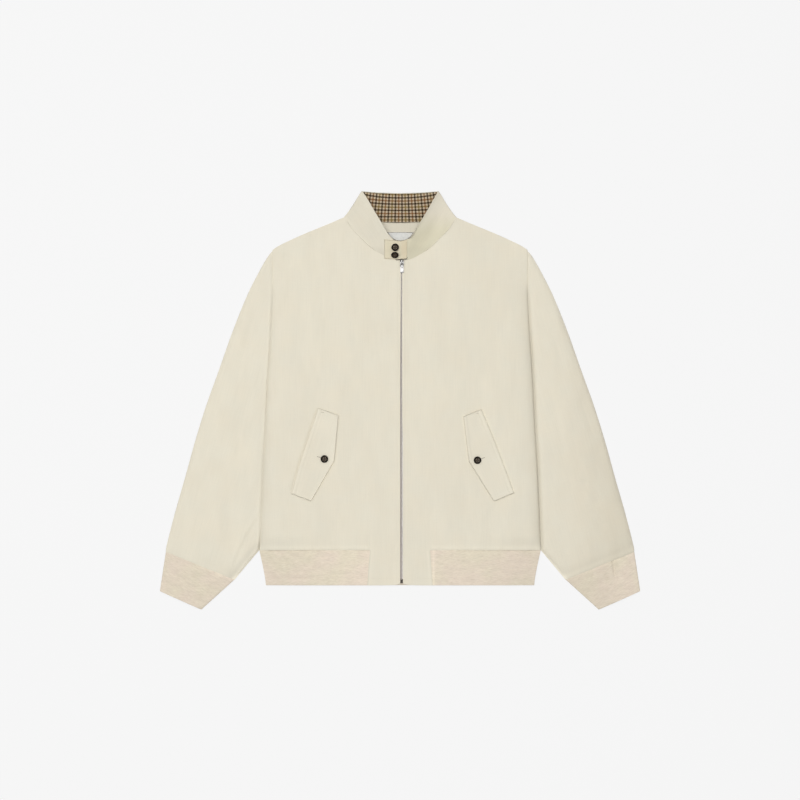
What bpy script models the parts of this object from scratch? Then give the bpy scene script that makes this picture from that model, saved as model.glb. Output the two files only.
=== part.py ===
"""Harrington jacket, zipped up and laid flat on its back, in metres with +Z up.

+X is the wearer's left, +Y runs up to the collar, and Z = 0 is the floor under the back
panel. The origin is on the floor under the middle of the jacket's box.

Sizes and tables below are in millimetres, and MM turns them into metres where a mesh is
made. A table row is (x, y) for the wearer's left half; the right half is its mirror image
apart from the zip, the tab and the ends of the collar.

From the floor up the layers are: back panel and collar back; collar lining, neck facing
and label; fronts, hem ribs and collar fronts; tab, flaps, zip slider and buttons. The
sleeves and cuffs are flattened tubes beside the body, and the fronts lap over them.
"""

import math

import bmesh
import bpy
from mathutils import Matrix, Vector

MM = 0.001

# Cloth
WALL = 1.4  # shell cloth with what is fused behind it
LINING_WALL = 1.2
RIB_WALL = 2.2  # rib knit folded double
TAPE_WALL = 1.0
FLAP_WALL = 1.8  # two layers of shell cloth sewn and pressed
SEAM = 0.3  # between pieces that are sewn or lie on each other

# Body, from the hem up
HEM_Y = -342.0
RIB_SEAM_Y = -277.5
UNDERARM_Y = -46.0
COLLAR_TOP_Y = 383.0
PLACKET_AT_SEAM = 56.0  # the front cloth runs on to the hem between the zip and here
PLACKET_AT_HEM = 61.0
HEM_CORNER_LIFT = 2.5  # the corner beside the zip sits this much above the hem line
ARMHOLE_LAP = 12.0  # how far the fronts cover the sleeves

SHOULDER_LINE = [(104, 338), (120, 331), (145.5, 320.5), (185, 304), (221, 287), (236, 277.5)]
BACK_NECKLINE = [(0, 327.8), (50, 330), (104, 338)]
FRONT_NECKLINE = [
    (17, 262),
    (37.5, 271.5),
    (56.5, 285),
    (72, 300),
    (88.5, 317),
    (98, 331.5),
    (104, 338),
]
NECK_BASE_Y = 260.0
SIDE_LINE = [
    (260.2, RIB_SEAM_Y),
    (257.5, -212),
    (254, -133),
    (249, UNDERARM_Y),
    (244.5, 47),
    (237.5, 148),
    (235, 208),
    (236, 277.5),
]
RIB_SIDE = [(248, HEM_Y), (249.5, -328.5), (253.5, -307), (256, -295.5), (260.2, RIB_SEAM_Y)]

# Sleeve and cuff
SLEEVE_OUTER = [
    (236, 277.5),
    (247, 265),
    (265, 233.5),
    (287, 189),
    (313.5, 122.5),
    (337, 56),
    (361, -11),
    (381.5, -77),
    (400, -144),
    (419, -210.5),
    (431.5, -268),
    (433, -280),
]
CUFF_SEAM_INNER = (305.6, -331.7)
CUFF_OUTER_CORNER = (444, -352)
CUFF_INNER_CORNER = (366.5, -386.5)

# Collar, tab, facing and label
COLLAR_TOP = [(0, COLLAR_TOP_Y), (40, 384.2), (70.5, 386.5)]
COLLAR_FOLD = [(104, 338), (94.5, 354), (87.5, 365), (80, 376), (70.5, 386.5)]
COLLAR_EDGE_LEFT = [(13.5, 298), (25, 310.5), (37, 329.5), (70.5, 386.5)]
COLLAR_EDGE_RIGHT = [(1.5, 287), (12, 296.5), (23.5, 311), (34, 329), (70.5, 386.5)]
COLLAR_END_LEFT = (13.5, 261.9)
COLLAR_END_RIGHT = (1.5, 261.3)
TAB_TOP = [(-29, 296.5), (-2, 293.8), (4, 294), (13.2, 297.9)]
TAB_BOTTOM = [(-29, 261.5), (-8, 260), (13.2, 261)]
LINING_INSET = 1.5  # the collar lining ends this far inside the collar's fold
FACING_DEPTH = 45.0
FACING_END_DEPTH = 8.0
FACING_HALF_WIDTH = 92.0
LABEL_MIDDLE_X = 0.8
LABEL_TOP_Y = 310.4
LABEL_WIDTH = 48.0
LABEL_DEPTH = 16.4
LABEL_WALL = 1.0

# Pocket flaps: s runs down the seam from its top corner, w across from the seam
FLAP_OUTLINE = [(0, 0), (1, 34), (82.5, 54), (167, 37.5), (165.5, 0)]
FLAP_TOP_CORNER = {"right": (-148.6, -15.2), "left": (148.3, -17.2)}
FLAP_TILT = {"right": 18.4, "left": 20.6}  # degrees that the seam leans out towards the hem
FLAP_BUTTON = (85.5, 38.0)
FLAP_EDGE = 0.5  # what the pressed edge takes off

# Buttons
BUTTON_DIAMETER = 14.0
BUTTON_THICKNESS = 3.0
BUTTON_DISH = 0.9
BUTTON_FOOT = 0.85  # diameter of the back as a share of the rim's
HOLE_DIAMETER = 1.7
HOLE_SPREAD = 1.9  # from the middle of the button to the middle of a hole, along X and Y
TAB_BUTTONS = [  # name, x, y, degrees that the lower rim leans down
    ("tab_button_upper", -9.0, 282.7, 0.0),
    ("tab_button_lower", -9.5, 268.6, 34.0),
]

# Zip
ZIP_X = 3.5
ZIP_OPENING = 7.4
CHAIN_WIDTH = 5.2
CHAIN_TOP_Y = 255.0
CHAIN_BOTTOM_Y = -331.0
BOX_LENGTH = 6.5
BOX_EDGE = 0.4
TAPE_WIDTH = 13.0
TAPE_HEM_Y = -338.0
TAPE_TOP_Y = 257.0
SLIDER_WIDTH = 6.8
SLIDER_TOP_Y = 258.6
SLIDER_SHOULDER_Y = 255.1  # the slider is widest here
SLIDER_BOTTOM_Y = 248.0
SLIDER_ROOM = 0.4  # between the slider's wings and the chain
UPPER_WING = 1.0
LOWER_WING = 0.9
POST_WIDTH = 1.6
PIVOT_Y = 252.2
PIVOT_Z = 8.4
PULL_BAR = 1.1
PULL_END_Y = 235.8
PULL_WIDTH = 6.2
PULL_CORNER = 1.2
PULL_HOLE_DIAMETER = 1.8
ARM_WIDTH = 1.2
ARM_LENGTH = 4.7  # from the pivot to the plate
ARCH_WIDTH = 1.6
ARCH_LEG = 1.5
ARCH_ROOF = 2.0  # its top above the pivot
ARCH_ROOM = 0.35  # between the pull's bar and the arch

# Undersides of the layers above the floor
BACK_LINING_LEVEL = WALL + SEAM
LABEL_LEVEL = BACK_LINING_LEVEL + LINING_WALL + SEAM
SLEEVE_EDGE_HEIGHT = 2 * WALL + 0.4
SLEEVE_CROWN = 3.2  # what the middle of a sleeve stands above its edges
CROWN_START = 8.0  # from a sleeve's inner edge
CROWN_INNER_RISE = 45.0
CROWN_OUTER_RISE = 40.0
CROWN_AT_CUFF = 0.75  # share of the crown that is left at the cuff seam
CUFF_EDGE_HEIGHT = 2 * RIB_WALL + 0.3
CUFF_CROWN = 1.2
LAP_LEVEL = SLEEVE_EDGE_HEIGHT + SEAM
FRONT_LEVEL = 5.1
COLLAR_FOLD_LEVEL = BACK_LINING_LEVEL + LINING_WALL + SEAM
TAB_LEVEL = FRONT_LEVEL + WALL + SEAM
FLAP_LEVEL = FRONT_LEVEL + WALL + SEAM
RIB_LEVEL = 4.7
RIB_SIDE_LEVEL = RIB_WALL + SEAM
TAPE_LEVEL = 3.7
CHAIN_HEIGHT = 2.4
EDGE_ROLL = 60.0  # over this width a front comes down to its edge

# Edges that turn a corner: the neckline, then the shoulder
FRONT_NECK_SHARE = 0.41  # share of a front's top edge that is neckline
BACK_NECK_SHARE = 0.46
FRONT_TOP_LEVELS = [  # share of a front's top edge, underside there
    (0.0, FRONT_LEVEL),
    (0.25, FRONT_LEVEL),
    (FRONT_NECK_SHARE, COLLAR_FOLD_LEVEL + 0.1),
    (0.53, BACK_LINING_LEVEL),
    (0.86, BACK_LINING_LEVEL),
    (0.94, LAP_LEVEL),
    (1.0, LAP_LEVEL),
]

# Fineness of the meshes
FLOOR_STEP = 3  # a flattened tube has one point on the floor for this many on its top
BACK_NECK_STEPS = 4
LABEL_STEPS = 16
FACING_STEPS = 6

# Gathers where cloth is drawn into a rib
HEM_GATHERS = 8
CUFF_GATHERS = 6
GATHER_HEIGHT = 0.5
GATHER_LENGTH = 30.0

FINISHES = {  # base colour, roughness, metallic
    "shell": ((0.76, 0.71, 0.58), 0.8, 0.0),
    "rib": ((0.72, 0.62, 0.50), 0.9, 0.0),
    "check": ((0.40, 0.27, 0.15), 0.85, 0.0),
    "label": ((0.85, 0.85, 0.82), 0.7, 0.0),
    "tape": ((0.62, 0.56, 0.50), 0.85, 0.0),
    "metal": ((0.72, 0.71, 0.70), 0.3, 1.0),
    "button": ((0.02, 0.014, 0.01), 0.4, 0.0),
}


# Lines and grids


def smoothstep(share):
    share = min(max(share, 0.0), 1.0)
    return share * share * (3 - 2 * share)


def interpolate(table, x):
    """Value at x of a table of (x, value) rows in rising x."""
    for (x0, value0), (x1, value1) in zip(table, table[1:]):
        if x <= x1:
            return value0 + (value1 - value0) * max(x - x0, 0) / (x1 - x0)
    return table[-1][1]


class Line:
    """A line through points in plan, read by the share of its length: smooth, or straight runs."""

    SAMPLES = 12

    def __init__(self, points, smooth=True):
        if smooth:
            self.points = self.smoothed([Vector(point) for point in points])
        else:
            self.points = [Vector(point) for point in points]
        self.lengths = [0.0]
        for start, end in zip(self.points, self.points[1:]):
            self.lengths.append(self.lengths[-1] + (end - start).length)

    def smoothed(self, knots):
        knots = [2 * knots[0] - knots[1], *knots, 2 * knots[-1] - knots[-2]]
        points = [knots[1]]
        for before, start, end, after in zip(knots, knots[1:], knots[2:], knots[3:]):
            for sample in range(1, self.SAMPLES + 1):
                points.append(catmull(before, start, end, after, sample / self.SAMPLES))
        return points

    def at(self, share):
        wanted = share * self.lengths[-1]
        for index in range(1, len(self.points)):
            if wanted <= self.lengths[index] or index == len(self.points) - 1:
                step = self.lengths[index] - self.lengths[index - 1]
                part = (wanted - self.lengths[index - 1]) / step
                return self.points[index - 1].lerp(self.points[index], part)

    def knots(self, steps):
        """Stations that fall on every point of a straight-run line, with these steps a run."""
        return stations(*[(length / self.lengths[-1], steps) for length in self.lengths[1:]])

    def distance(self, point):
        return min(
            segment_distance(point, start, end) for start, end in zip(self.points, self.points[1:])
        )


def catmull(before, start, end, after, t):
    return 0.5 * (
        2 * start
        + (end - before) * t
        + (2 * before - 5 * start + 4 * end - after) * t**2
        + (3 * start - before - 3 * end + after) * t**3
    )


def segment_distance(point, start, end):
    along = end - start
    share = min(max((point - start).dot(along) / along.length_squared, 0.0), 1.0)
    return (point - start.lerp(end, share)).length


def joined(first, second, corner):
    """One line of share 0 to 1 from two, whose common point is at share corner."""

    def at(share):
        if share <= corner:
            return first.at(share / corner)
        return second.at((share - corner) / (1 - corner))

    return at


def moved(points, x=0.0, y=0.0):
    return [(px + x, py + y) for px, py in points]


def stations(*spans):
    """Shares from 0 to 1: each span is (end share, number of steps)."""
    shares = [0.0]
    for end, steps in spans:
        start = shares[-1]
        shares += [start + (end - start) * (step + 1) / steps for step in range(steps)]
    return shares


def patch(near, far, start, end, columns, rows):
    """Plan points (u, v, point) spanned between four edge lines, near at v = 0 and far at v = 1."""
    grid = []
    for v in rows:
        row = []
        for u in columns:
            across = near(u).lerp(far(u), v)
            along = start(v).lerp(end(v), u)
            corners = near(0).lerp(near(1), u).lerp(far(0).lerp(far(1), u), v)
            row.append((u, v, across + along - corners))
        grid.append(row)
    return grid


def side_x(y):
    return interpolate([(py, px) for px, py in SIDE_LINE], y)


def lapped(gap=0.0):
    """Points of the side line moved in under the front by its lap, which ends at the rib seam."""
    points = [(SIDE_LINE[0][0] + SEAM - gap, RIB_SEAM_Y)]
    points += [(px - ARMHOLE_LAP - gap, py) for px, py in SIDE_LINE[1:-1]]
    top_x = SIDE_LINE[-1][0] - ARMHOLE_LAP - gap
    return [*points, (top_x, interpolate(SHOULDER_LINE, top_x))]


# Objects


def collection(name):
    found = bpy.data.collections.new(name)
    bpy.context.scene.collection.children.link(found)
    return found


def make_object(name, mesh, finish=None):
    """Object for one sub-part with its own material; with no finish it is a cutter or a helper."""
    obj = bpy.data.objects.new(name, mesh)
    if finish is None:
        obj.hide_render = True
        obj.display_type = "WIRE"
        HELPERS.objects.link(obj)
        return obj
    colour, roughness, metallic = FINISHES[finish]
    material = bpy.data.materials.new(name)
    material.use_nodes = True
    shader = material.node_tree.nodes["Principled BSDF"]
    shader.inputs["Base Color"].default_value = (*colour, 1.0)
    shader.inputs["Roughness"].default_value = roughness
    shader.inputs["Metallic"].default_value = metallic
    mesh.materials.append(material)
    JACKET.objects.link(obj)
    return obj


def mesh_from(bm, name):
    mesh = bpy.data.meshes.new(name)
    bm.to_mesh(mesh)
    bm.free()
    return mesh


def sheet_mesh(name, rows, mirrored=False):
    """Open sheet of quads through rows of (x, y, z); a row may be shorter than its neighbour."""
    bm = bmesh.new()
    sign = -1 if mirrored else 1
    grid = [[bm.verts.new((sign * x * MM, y * MM, z * MM)) for x, y, z in row] for row in rows]
    for lower, upper in zip(grid, grid[1:]):
        for column in range(min(len(lower), len(upper)) - 1):
            corners = [lower[column], lower[column + 1], upper[column + 1], upper[column]]
            bm.faces.new(corners[::-1] if mirrored else corners)
    return mesh_from(bm, name)


def add_wall(obj, wall):
    """Cloth above the sheet, which is its underside."""
    solidify = obj.modifiers.new("wall", "SOLIDIFY")
    solidify.thickness = wall * MM
    solidify.offset = 1.0
    solidify.use_even_offset = True


def add_mirror(obj):
    mirror = obj.modifiers.new("other half", "MIRROR")
    mirror.merge_threshold = 0.00005
    mirror.use_clip = True


def cloth_sheet(name, rows, wall, finish, mirrored=False, symmetric=False):
    obj = make_object(name, sheet_mesh(name, rows, mirrored), finish)
    if symmetric:
        add_mirror(obj)
    add_wall(obj, wall)
    return obj


def ring(plan, tops, inset):
    """Closed loop round a flattened tube, inset from its skin: along the floor, round the far
    edge, back along the top and round the near edge. tops are the heights over plan."""
    round_off = tops[0] / 2
    floor = [plan[index].copy() for index in range(0, len(plan), FLOOR_STEP)]
    above = [point.copy() for point in plan]
    inwards = (plan[1] - plan[0]).normalized()
    backwards = (plan[-2] - plan[-1]).normalized()
    for points in (floor, above):
        points[0] += inwards * round_off
        points[-1] += backwards * round_off
    near_edge = plan[0] + inwards * inset
    far_edge = plan[-1] + backwards * inset
    loop = [(*point, inset) for point in floor]
    loop.append((*far_edge, tops[-1] / 2))
    loop += [(*point, top - inset) for point, top in reversed(list(zip(above, tops)))]
    loop.append((*near_edge, tops[0] / 2))
    return loop


def cloth_tube(name, sections, wall, finish, mirrored=False):
    """Flattened tube, open at both ends, through sections of (plan points, top heights)."""
    bm = bmesh.new()
    sign = -1 if mirrored else 1
    skins = []
    for inset in (0.0, wall):
        loops = [ring(plan, tops, inset) for plan, tops in sections]
        skins.append(
            [[bm.verts.new((sign * x * MM, y * MM, z * MM)) for x, y, z in loop] for loop in loops]
        )
    outer, inner = skins
    for skin in skins:
        for loop, following in zip(skin, skin[1:]):
            bridge(bm, loop, following)
    bridge(bm, outer[0], inner[0])
    bridge(bm, outer[-1], inner[-1])
    bmesh.ops.recalc_face_normals(bm, faces=bm.faces)
    return make_object(name, mesh_from(bm, name), finish)


def bridge(bm, loop, following):
    for index in range(len(loop)):
        after = (index + 1) % len(loop)
        bm.faces.new((loop[index], loop[after], following[after], following[index]))


def prism_mesh(name, outline, bottom, top):
    """Upright prism over an outline in X and Y, given anticlockwise."""
    bm = bmesh.new()
    base = bm.faces.new([bm.verts.new((x * MM, y * MM, bottom * MM)) for x, y in outline])
    raised = bmesh.ops.extrude_face_region(bm, geom=[base])["geom"]
    corners = [item for item in raised if isinstance(item, bmesh.types.BMVert)]
    bmesh.ops.translate(bm, verts=corners, vec=(0, 0, (top - bottom) * MM))
    bmesh.ops.recalc_face_normals(bm, faces=bm.faces)
    return mesh_from(bm, name)


def box_mesh(name, x_range, y_range, z_range):
    (x0, x1), (y0, y1) = x_range, y_range
    return prism_mesh(name, [(x0, y0), (x1, y0), (x1, y1), (x0, y1)], *z_range)


def cylinder_mesh(name, radius, length, sides, centre, axis):
    bm = bmesh.new()
    turn = Vector((0, 0, 1)).rotation_difference(Vector(axis)).to_matrix().to_4x4()
    bmesh.ops.create_cone(
        bm,
        cap_ends=True,
        segments=sides,
        radius1=radius * MM,
        radius2=radius * MM,
        depth=length * MM,
        matrix=Matrix.Translation(Vector(centre) * MM) @ turn,
    )
    return mesh_from(bm, name)


def combine(obj, operation, mesh):
    """Boolean of obj with a helper of this mesh, which stays hidden."""
    helper = make_object(mesh.name, mesh)
    helper.matrix_world = obj.matrix_world
    modifier = obj.modifiers.new(mesh.name, "BOOLEAN")
    modifier.operation = operation
    modifier.object = helper


# Body


def front_panel(side, zip_edge):
    width = SIDE_LINE[0][0] - zip_edge
    length = NECK_BASE_Y - RIB_SEAM_Y
    placket = (PLACKET_AT_SEAM - zip_edge) / width
    neckline = Line([(zip_edge, NECK_BASE_Y), *FRONT_NECKLINE])
    neck_and_shoulder = joined(neckline, Line(SHOULDER_LINE), FRONT_NECK_SHARE)
    side_line = Line(SIDE_LINE)
    zip_line = Line([(zip_edge, RIB_SEAM_Y), (zip_edge, NECK_BASE_Y)])
    seam_line = Line([(zip_edge, RIB_SEAM_Y), SIDE_LINE[0]])

    def underside(u, v):
        side_fall = (FRONT_LEVEL - LAP_LEVEL) * (1 - smoothstep((1 - u) * width / EDGE_ROLL))
        top_fall = FRONT_LEVEL - interpolate(FRONT_TOP_LEVELS, u)
        top_fall *= 1 - smoothstep((1 - v) * length / EDGE_ROLL)
        return FRONT_LEVEL - max(side_fall, top_fall) + gather(u, v)

    def gather(u, v):
        share = (u - placket) / (1 - placket)
        ends = smoothstep(6 * share) * smoothstep(6 * (1 - share))
        fade = 1 - smoothstep(v * length / GATHER_LENGTH)
        return GATHER_HEIGHT * ends * fade * math.sin(2 * math.pi * HEM_GATHERS * share)

    columns = stations((placket, 4), (FRONT_NECK_SHARE, 10), (1.0, 24))
    rows = stations((0.018, 1), (0.045, 1), (0.1, 1), (0.86, 6), (1.0, 3))
    grid = patch(seam_line.at, neck_and_shoulder, zip_line.at, side_line.at, columns, rows)
    cloth = [[(*point, underside(u, v)) for u, v, point in row] for row in grid]
    return cloth_sheet(
        f"front_{side}",
        placket_rows(zip_edge, columns[:5]) + cloth,
        WALL,
        "shell",
        mirrored=side == "right",
    )


def placket_rows(zip_edge, columns):
    """Rows from the hem up to just under the rib seam, as wide as the placket."""
    rows = []
    for share in (0.0, 0.5):
        y = HEM_Y + (RIB_SEAM_Y - HEM_Y) * share
        outer = PLACKET_AT_HEM + (PLACKET_AT_SEAM - PLACKET_AT_HEM) * share
        row = []
        for column in columns:
            x = zip_edge + (outer - zip_edge) * column / columns[-1]
            lift = HEM_CORNER_LIFT * (1 - share) * (column == 0)
            row.append((x, y + lift, FRONT_LEVEL))
        rows.append(row)
    return rows


def back_panel():
    start_y = RIB_SEAM_Y + SEAM
    cut_side = lapped(gap=SEAM)
    cut_side[0] = (cut_side[0][0], start_y)
    shoulder = [row for row in SHOULDER_LINE if row[0] < cut_side[-1][0]]
    side = Line(cut_side, smooth=False)
    grid = patch(
        Line([(0, start_y), cut_side[0]]).at,
        joined(Line(BACK_NECKLINE), Line([*shoulder, cut_side[-1]]), BACK_NECK_SHARE),
        Line([(0, start_y), BACK_NECKLINE[0]]).at,
        side.at,
        stations((BACK_NECK_SHARE, BACK_NECK_STEPS), (1.0, 6)),
        side.knots(1),
    )
    flat = [[(*point, 0.0) for _, _, point in row] for row in grid]
    return cloth_sheet("back", flat, WALL, "shell", symmetric=True)


def hem_rib_front(side):
    width = SIDE_LINE[0][0] - PLACKET_AT_SEAM
    top_y = RIB_SEAM_Y - SEAM
    inner = [(PLACKET_AT_HEM + SEAM, HEM_Y), (PLACKET_AT_SEAM + SEAM, top_y)]
    outer = [*RIB_SIDE[:-1], (RIB_SIDE[-1][0], top_y)]
    grid = patch(
        Line([inner[0], outer[0]]).at,
        Line([inner[1], outer[-1]]).at,
        Line(inner).at,
        Line(outer).at,
        stations((0.75, 6), (1.0, 6)),
        stations((1.0, 4)),
    )
    rows = []
    for row in grid:
        rolls = [smoothstep((1 - u) * width / EDGE_ROLL) for u, _, _ in row]
        levels = [RIB_SIDE_LEVEL + (RIB_LEVEL - RIB_SIDE_LEVEL) * roll for roll in rolls]
        rows.append([(*point, level) for (_, _, point), level in zip(row, levels)])
    return cloth_sheet(f"hem_rib_{side}", rows, RIB_WALL, "rib", mirrored=side == "right")


def hem_rib_back():
    grid = patch(
        Line([(0, HEM_Y), RIB_SIDE[0]]).at,
        Line([(0, RIB_SEAM_Y), RIB_SIDE[-1]]).at,
        Line([(0, HEM_Y), (0, RIB_SEAM_Y)]).at,
        Line(RIB_SIDE).at,
        stations((1.0, 4)),
        stations((1.0, 4)),
    )
    flat = [[(*point, 0.0) for _, _, point in row] for row in grid]
    return cloth_sheet("hem_rib_back", flat, RIB_WALL, "rib", symmetric=True)


# Sleeves


def sleeve_inner_line():
    """Inner edge of a sleeve in plan, from the underarm down under the body to the cuff seam."""
    under_body = [point for point in lapped() if point[1] <= UNDERARM_Y]
    return Line([*under_body[::-1], CUFF_SEAM_INNER], smooth=False)


def armhole_line():
    """Open end of a sleeve in plan, from the underarm up to the shoulder."""
    return Line([point for point in lapped() if point[1] >= UNDERARM_Y], smooth=False)


def sleeve_outer_line():
    armhole_top = armhole_line().points[-1]
    return Line([tuple(armhole_top), *SLEEVE_OUTER])


def sleeve(side):
    inner = sleeve_inner_line()
    outer = sleeve_outer_line()
    armhole = armhole_line()
    visible_inner = Line([*SIDE_LINE[::-1], CUFF_SEAM_INNER], smooth=False)
    grid = patch(
        armhole.at,
        Line([CUFF_SEAM_INNER, SLEEVE_OUTER[-1]]).at,
        inner.at,
        outer.at,
        armhole.knots(6),
        inner.knots(3),
    )

    def top(u, v, point):
        covered = point.x < side_x(point.y) and point.y > RIB_SEAM_Y
        from_inner = 0.0 if covered else visible_inner.distance(point)
        crown = SLEEVE_CROWN * smoothstep((from_inner - CROWN_START) / CROWN_INNER_RISE)
        crown *= smoothstep(outer.distance(point) / CROWN_OUTER_RISE)
        crown *= 1 - (1 - CROWN_AT_CUFF) * smoothstep((v - 0.9) / 0.1)
        fade = 1 - smoothstep((1 - v) * outer.lengths[-1] / (2 * GATHER_LENGTH))
        ends = smoothstep(5 * u) * smoothstep(5 * (1 - u))
        wave = GATHER_HEIGHT * ends * fade * math.sin(2 * math.pi * CUFF_GATHERS * u)
        return SLEEVE_EDGE_HEIGHT + crown + wave

    sections = []
    for row in grid:
        plan = [point for _, _, point in row]
        sections.append((plan, [top(u, v, point) for u, v, point in row]))
    return cloth_tube(f"sleeve_{side}", sections, WALL, "shell", mirrored=side == "right")


def cuff(side):
    seam_inner = Vector(CUFF_SEAM_INNER)
    seam_outer = Vector(SLEEVE_OUTER[-1])
    end_inner = Vector(CUFF_INNER_CORNER)
    end_outer = Vector(CUFF_OUTER_CORNER)
    away = (end_outer - seam_outer).normalized() * SEAM
    grid = patch(
        Line([seam_inner + away, seam_outer + away]).at,
        Line([end_inner, end_outer]).at,
        Line([seam_inner + away, end_inner]).at,
        Line([seam_outer + away, end_outer]).at,
        stations((1.0, 4 * FLOOR_STEP)),
        stations((1.0, 3)),
    )
    sections = []
    for row in grid:
        plan = [point for _, _, point in row]
        bumps = [smoothstep(4 * u) * smoothstep(4 * (1 - u)) for u, _, _ in row]
        sections.append((plan, [CUFF_EDGE_HEIGHT + CUFF_CROWN * bump for bump in bumps]))
    return cloth_tube(f"cuff_{side}", sections, RIB_WALL, "rib", mirrored=side == "right")


# Collar


def collar_back():
    neck = moved(BACK_NECKLINE, y=SEAM)
    grid = patch(
        Line(neck).at,
        Line(COLLAR_TOP).at,
        Line([neck[0], COLLAR_TOP[0]]).at,
        Line([neck[-1], *COLLAR_FOLD[1:]]).at,
        stations((1.0, BACK_NECK_STEPS)),
        stations((1.0, 5)),
    )
    flat = [[(*point, 0.0) for _, _, point in row] for row in grid]
    return cloth_sheet("collar_back", flat, WALL, "shell", symmetric=True)


def collar_lining():
    """Check lining of the collar's back, which shows in the neck opening."""
    bottom = moved(BACK_NECKLINE, y=2 * SEAM)
    bottom[-1] = (bottom[-1][0] - 2 * LINING_INSET, bottom[-1][1])
    fold = moved(COLLAR_FOLD, x=-2 * LINING_INSET, y=-LINING_INSET)
    fold[0] = bottom[-1]
    top = [*moved(COLLAR_TOP[:-1], y=-LINING_INSET), fold[-1]]
    grid = patch(
        Line(bottom).at,
        Line(top).at,
        Line([bottom[0], top[0]]).at,
        Line(fold).at,
        stations((1.0, 5)),
        stations((1.0, 5)),
    )
    rows = [[(*point, BACK_LINING_LEVEL) for _, _, point in row] for row in grid]
    return cloth_sheet("collar_lining", rows, LINING_WALL, "check", symmetric=True)


def neck_facing():
    """Shell cloth facing inside the back neck, under the collar lining's seam."""
    lower, upper = [], []
    for step in range(FACING_STEPS + 1):
        share = step / FACING_STEPS
        x = FACING_HALF_WIDTH * share
        edge = interpolate(BACK_NECKLINE, x)
        depth = FACING_DEPTH + (FACING_END_DEPTH - FACING_DEPTH) * share**2
        upper.append((x, edge, BACK_LINING_LEVEL))
        lower.append((x, edge - depth, BACK_LINING_LEVEL))
    return cloth_sheet("neck_facing", [lower, upper], LINING_WALL, "shell", symmetric=True)


def label():
    """Bare half-moon label: a straight top and a round lower edge."""
    radius = ((LABEL_WIDTH / 2) ** 2 + LABEL_DEPTH**2) / (2 * LABEL_DEPTH)
    centre_y = LABEL_TOP_Y - LABEL_DEPTH + radius
    half_angle = math.asin(LABEL_WIDTH / 2 / radius)
    outline = []
    for step in range(LABEL_STEPS + 1):
        angle = half_angle * (2 * step / LABEL_STEPS - 1)
        x = LABEL_MIDDLE_X + radius * math.sin(angle)
        outline.append((x, centre_y - radius * math.cos(angle)))
    mesh = prism_mesh("neck_label", outline, LABEL_LEVEL, LABEL_LEVEL + LABEL_WALL)
    return make_object("neck_label", mesh, "label")


def collar_front(side):
    """Half of the collar's front, from its end at the throat round to the fold at the side."""
    left = side == "left"
    end = COLLAR_END_LEFT if left else COLLAR_END_RIGHT
    edge = COLLAR_EDGE_LEFT if left else COLLAR_EDGE_RIGHT
    neckline = moved(FRONT_NECKLINE, x=-SEAM, y=2 * SEAM)
    seam = [end, *[point for point in neckline if point[0] > end[0] + 2]]
    grid = patch(
        Line(seam).at,
        Line(edge).at,
        Line([end, edge[0]]).at,
        Line([seam[-1], *COLLAR_FOLD[1:]]).at,
        stations((0.25, 3), (1.0, 8)),
        stations((1.0, 4)),
    )
    end_rise = TAB_LEVEL - FRONT_LEVEL if left else 0.0

    def underside(u):
        fall = (FRONT_LEVEL - COLLAR_FOLD_LEVEL) * smoothstep((u - 0.65) / 0.35)
        return FRONT_LEVEL - fall + end_rise * (1 - smoothstep(u / 0.25))

    rows = [[(*point, underside(u)) for u, _, point in row] for row in grid]
    return cloth_sheet(f"collar_front_{side}", rows, WALL, "shell", mirrored=not left)


def collar_tab():
    """Tab that runs on from the left collar end and buttons over the right one."""
    grid = patch(
        Line(TAB_BOTTOM).at,
        Line(TAB_TOP).at,
        Line([TAB_BOTTOM[0], TAB_TOP[0]]).at,
        Line([TAB_BOTTOM[-1], TAB_TOP[-1]]).at,
        stations((1.0, 6)),
        stations((1.0, 2)),
    )
    rows = [[(*point, TAB_LEVEL) for _, _, point in row] for row in grid]
    return cloth_sheet("collar_tab", rows, FLAP_WALL, "shell")


# Pocket flaps and buttons


def on_flap(side, along, across):
    """Plan place of a point of a flap given along its seam and across from it."""
    tilt = math.radians(FLAP_TILT[side])
    outwards = 1 if side == "left" else -1
    corner_x, corner_y = FLAP_TOP_CORNER[side]
    x = corner_x + outwards * (along * math.sin(tilt) - across * math.cos(tilt))
    return x, corner_y - along * math.cos(tilt) - across * math.sin(tilt)


def pocket_flap(side):
    name = f"pocket_flap_{side}"
    outline = [on_flap(side, along, across) for along, across in FLAP_OUTLINE]
    mesh = prism_mesh(name, outline, FLAP_LEVEL, FLAP_LEVEL + FLAP_WALL)
    flap = make_object(name, mesh, "shell")
    edge = flap.modifiers.new("pressed edge", "BEVEL")
    edge.width = FLAP_EDGE * MM
    edge.segments = 1
    edge.limit_method = "ANGLE"
    return flap


def button_mesh():
    """Four-hole button: a rounded rim round a dished middle, turned about Z, its back at Z = 0."""
    radius = BUTTON_DIAMETER / 2
    top = BUTTON_THICKNESS
    profile = [  # out along the dished top, over the rim and back in along the foot
        (0.0, top - BUTTON_DISH),
        (0.55 * radius, top - BUTTON_DISH),
        (0.72 * radius, top),
        (0.9 * radius, top),
        (radius, 0.6 * top),
        (BUTTON_FOOT * radius, 0.0),
        (0.0, 0.0),
    ]
    bm = bmesh.new()
    points = [bm.verts.new((x * MM, 0, z * MM)) for x, z in profile]
    for start, end in zip(points, points[1:]):
        bm.edges.new((start, end))
    bmesh.ops.spin(
        bm,
        geom=[*bm.verts, *bm.edges],
        axis=(0, 0, 1),
        cent=(0, 0, 0),
        steps=20,
        angle=2 * math.pi,
        use_merge=True,
    )
    bmesh.ops.remove_doubles(bm, verts=bm.verts, dist=0.00001)
    bmesh.ops.recalc_face_normals(bm, faces=bm.faces)
    return mesh_from(bm, "button")


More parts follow.
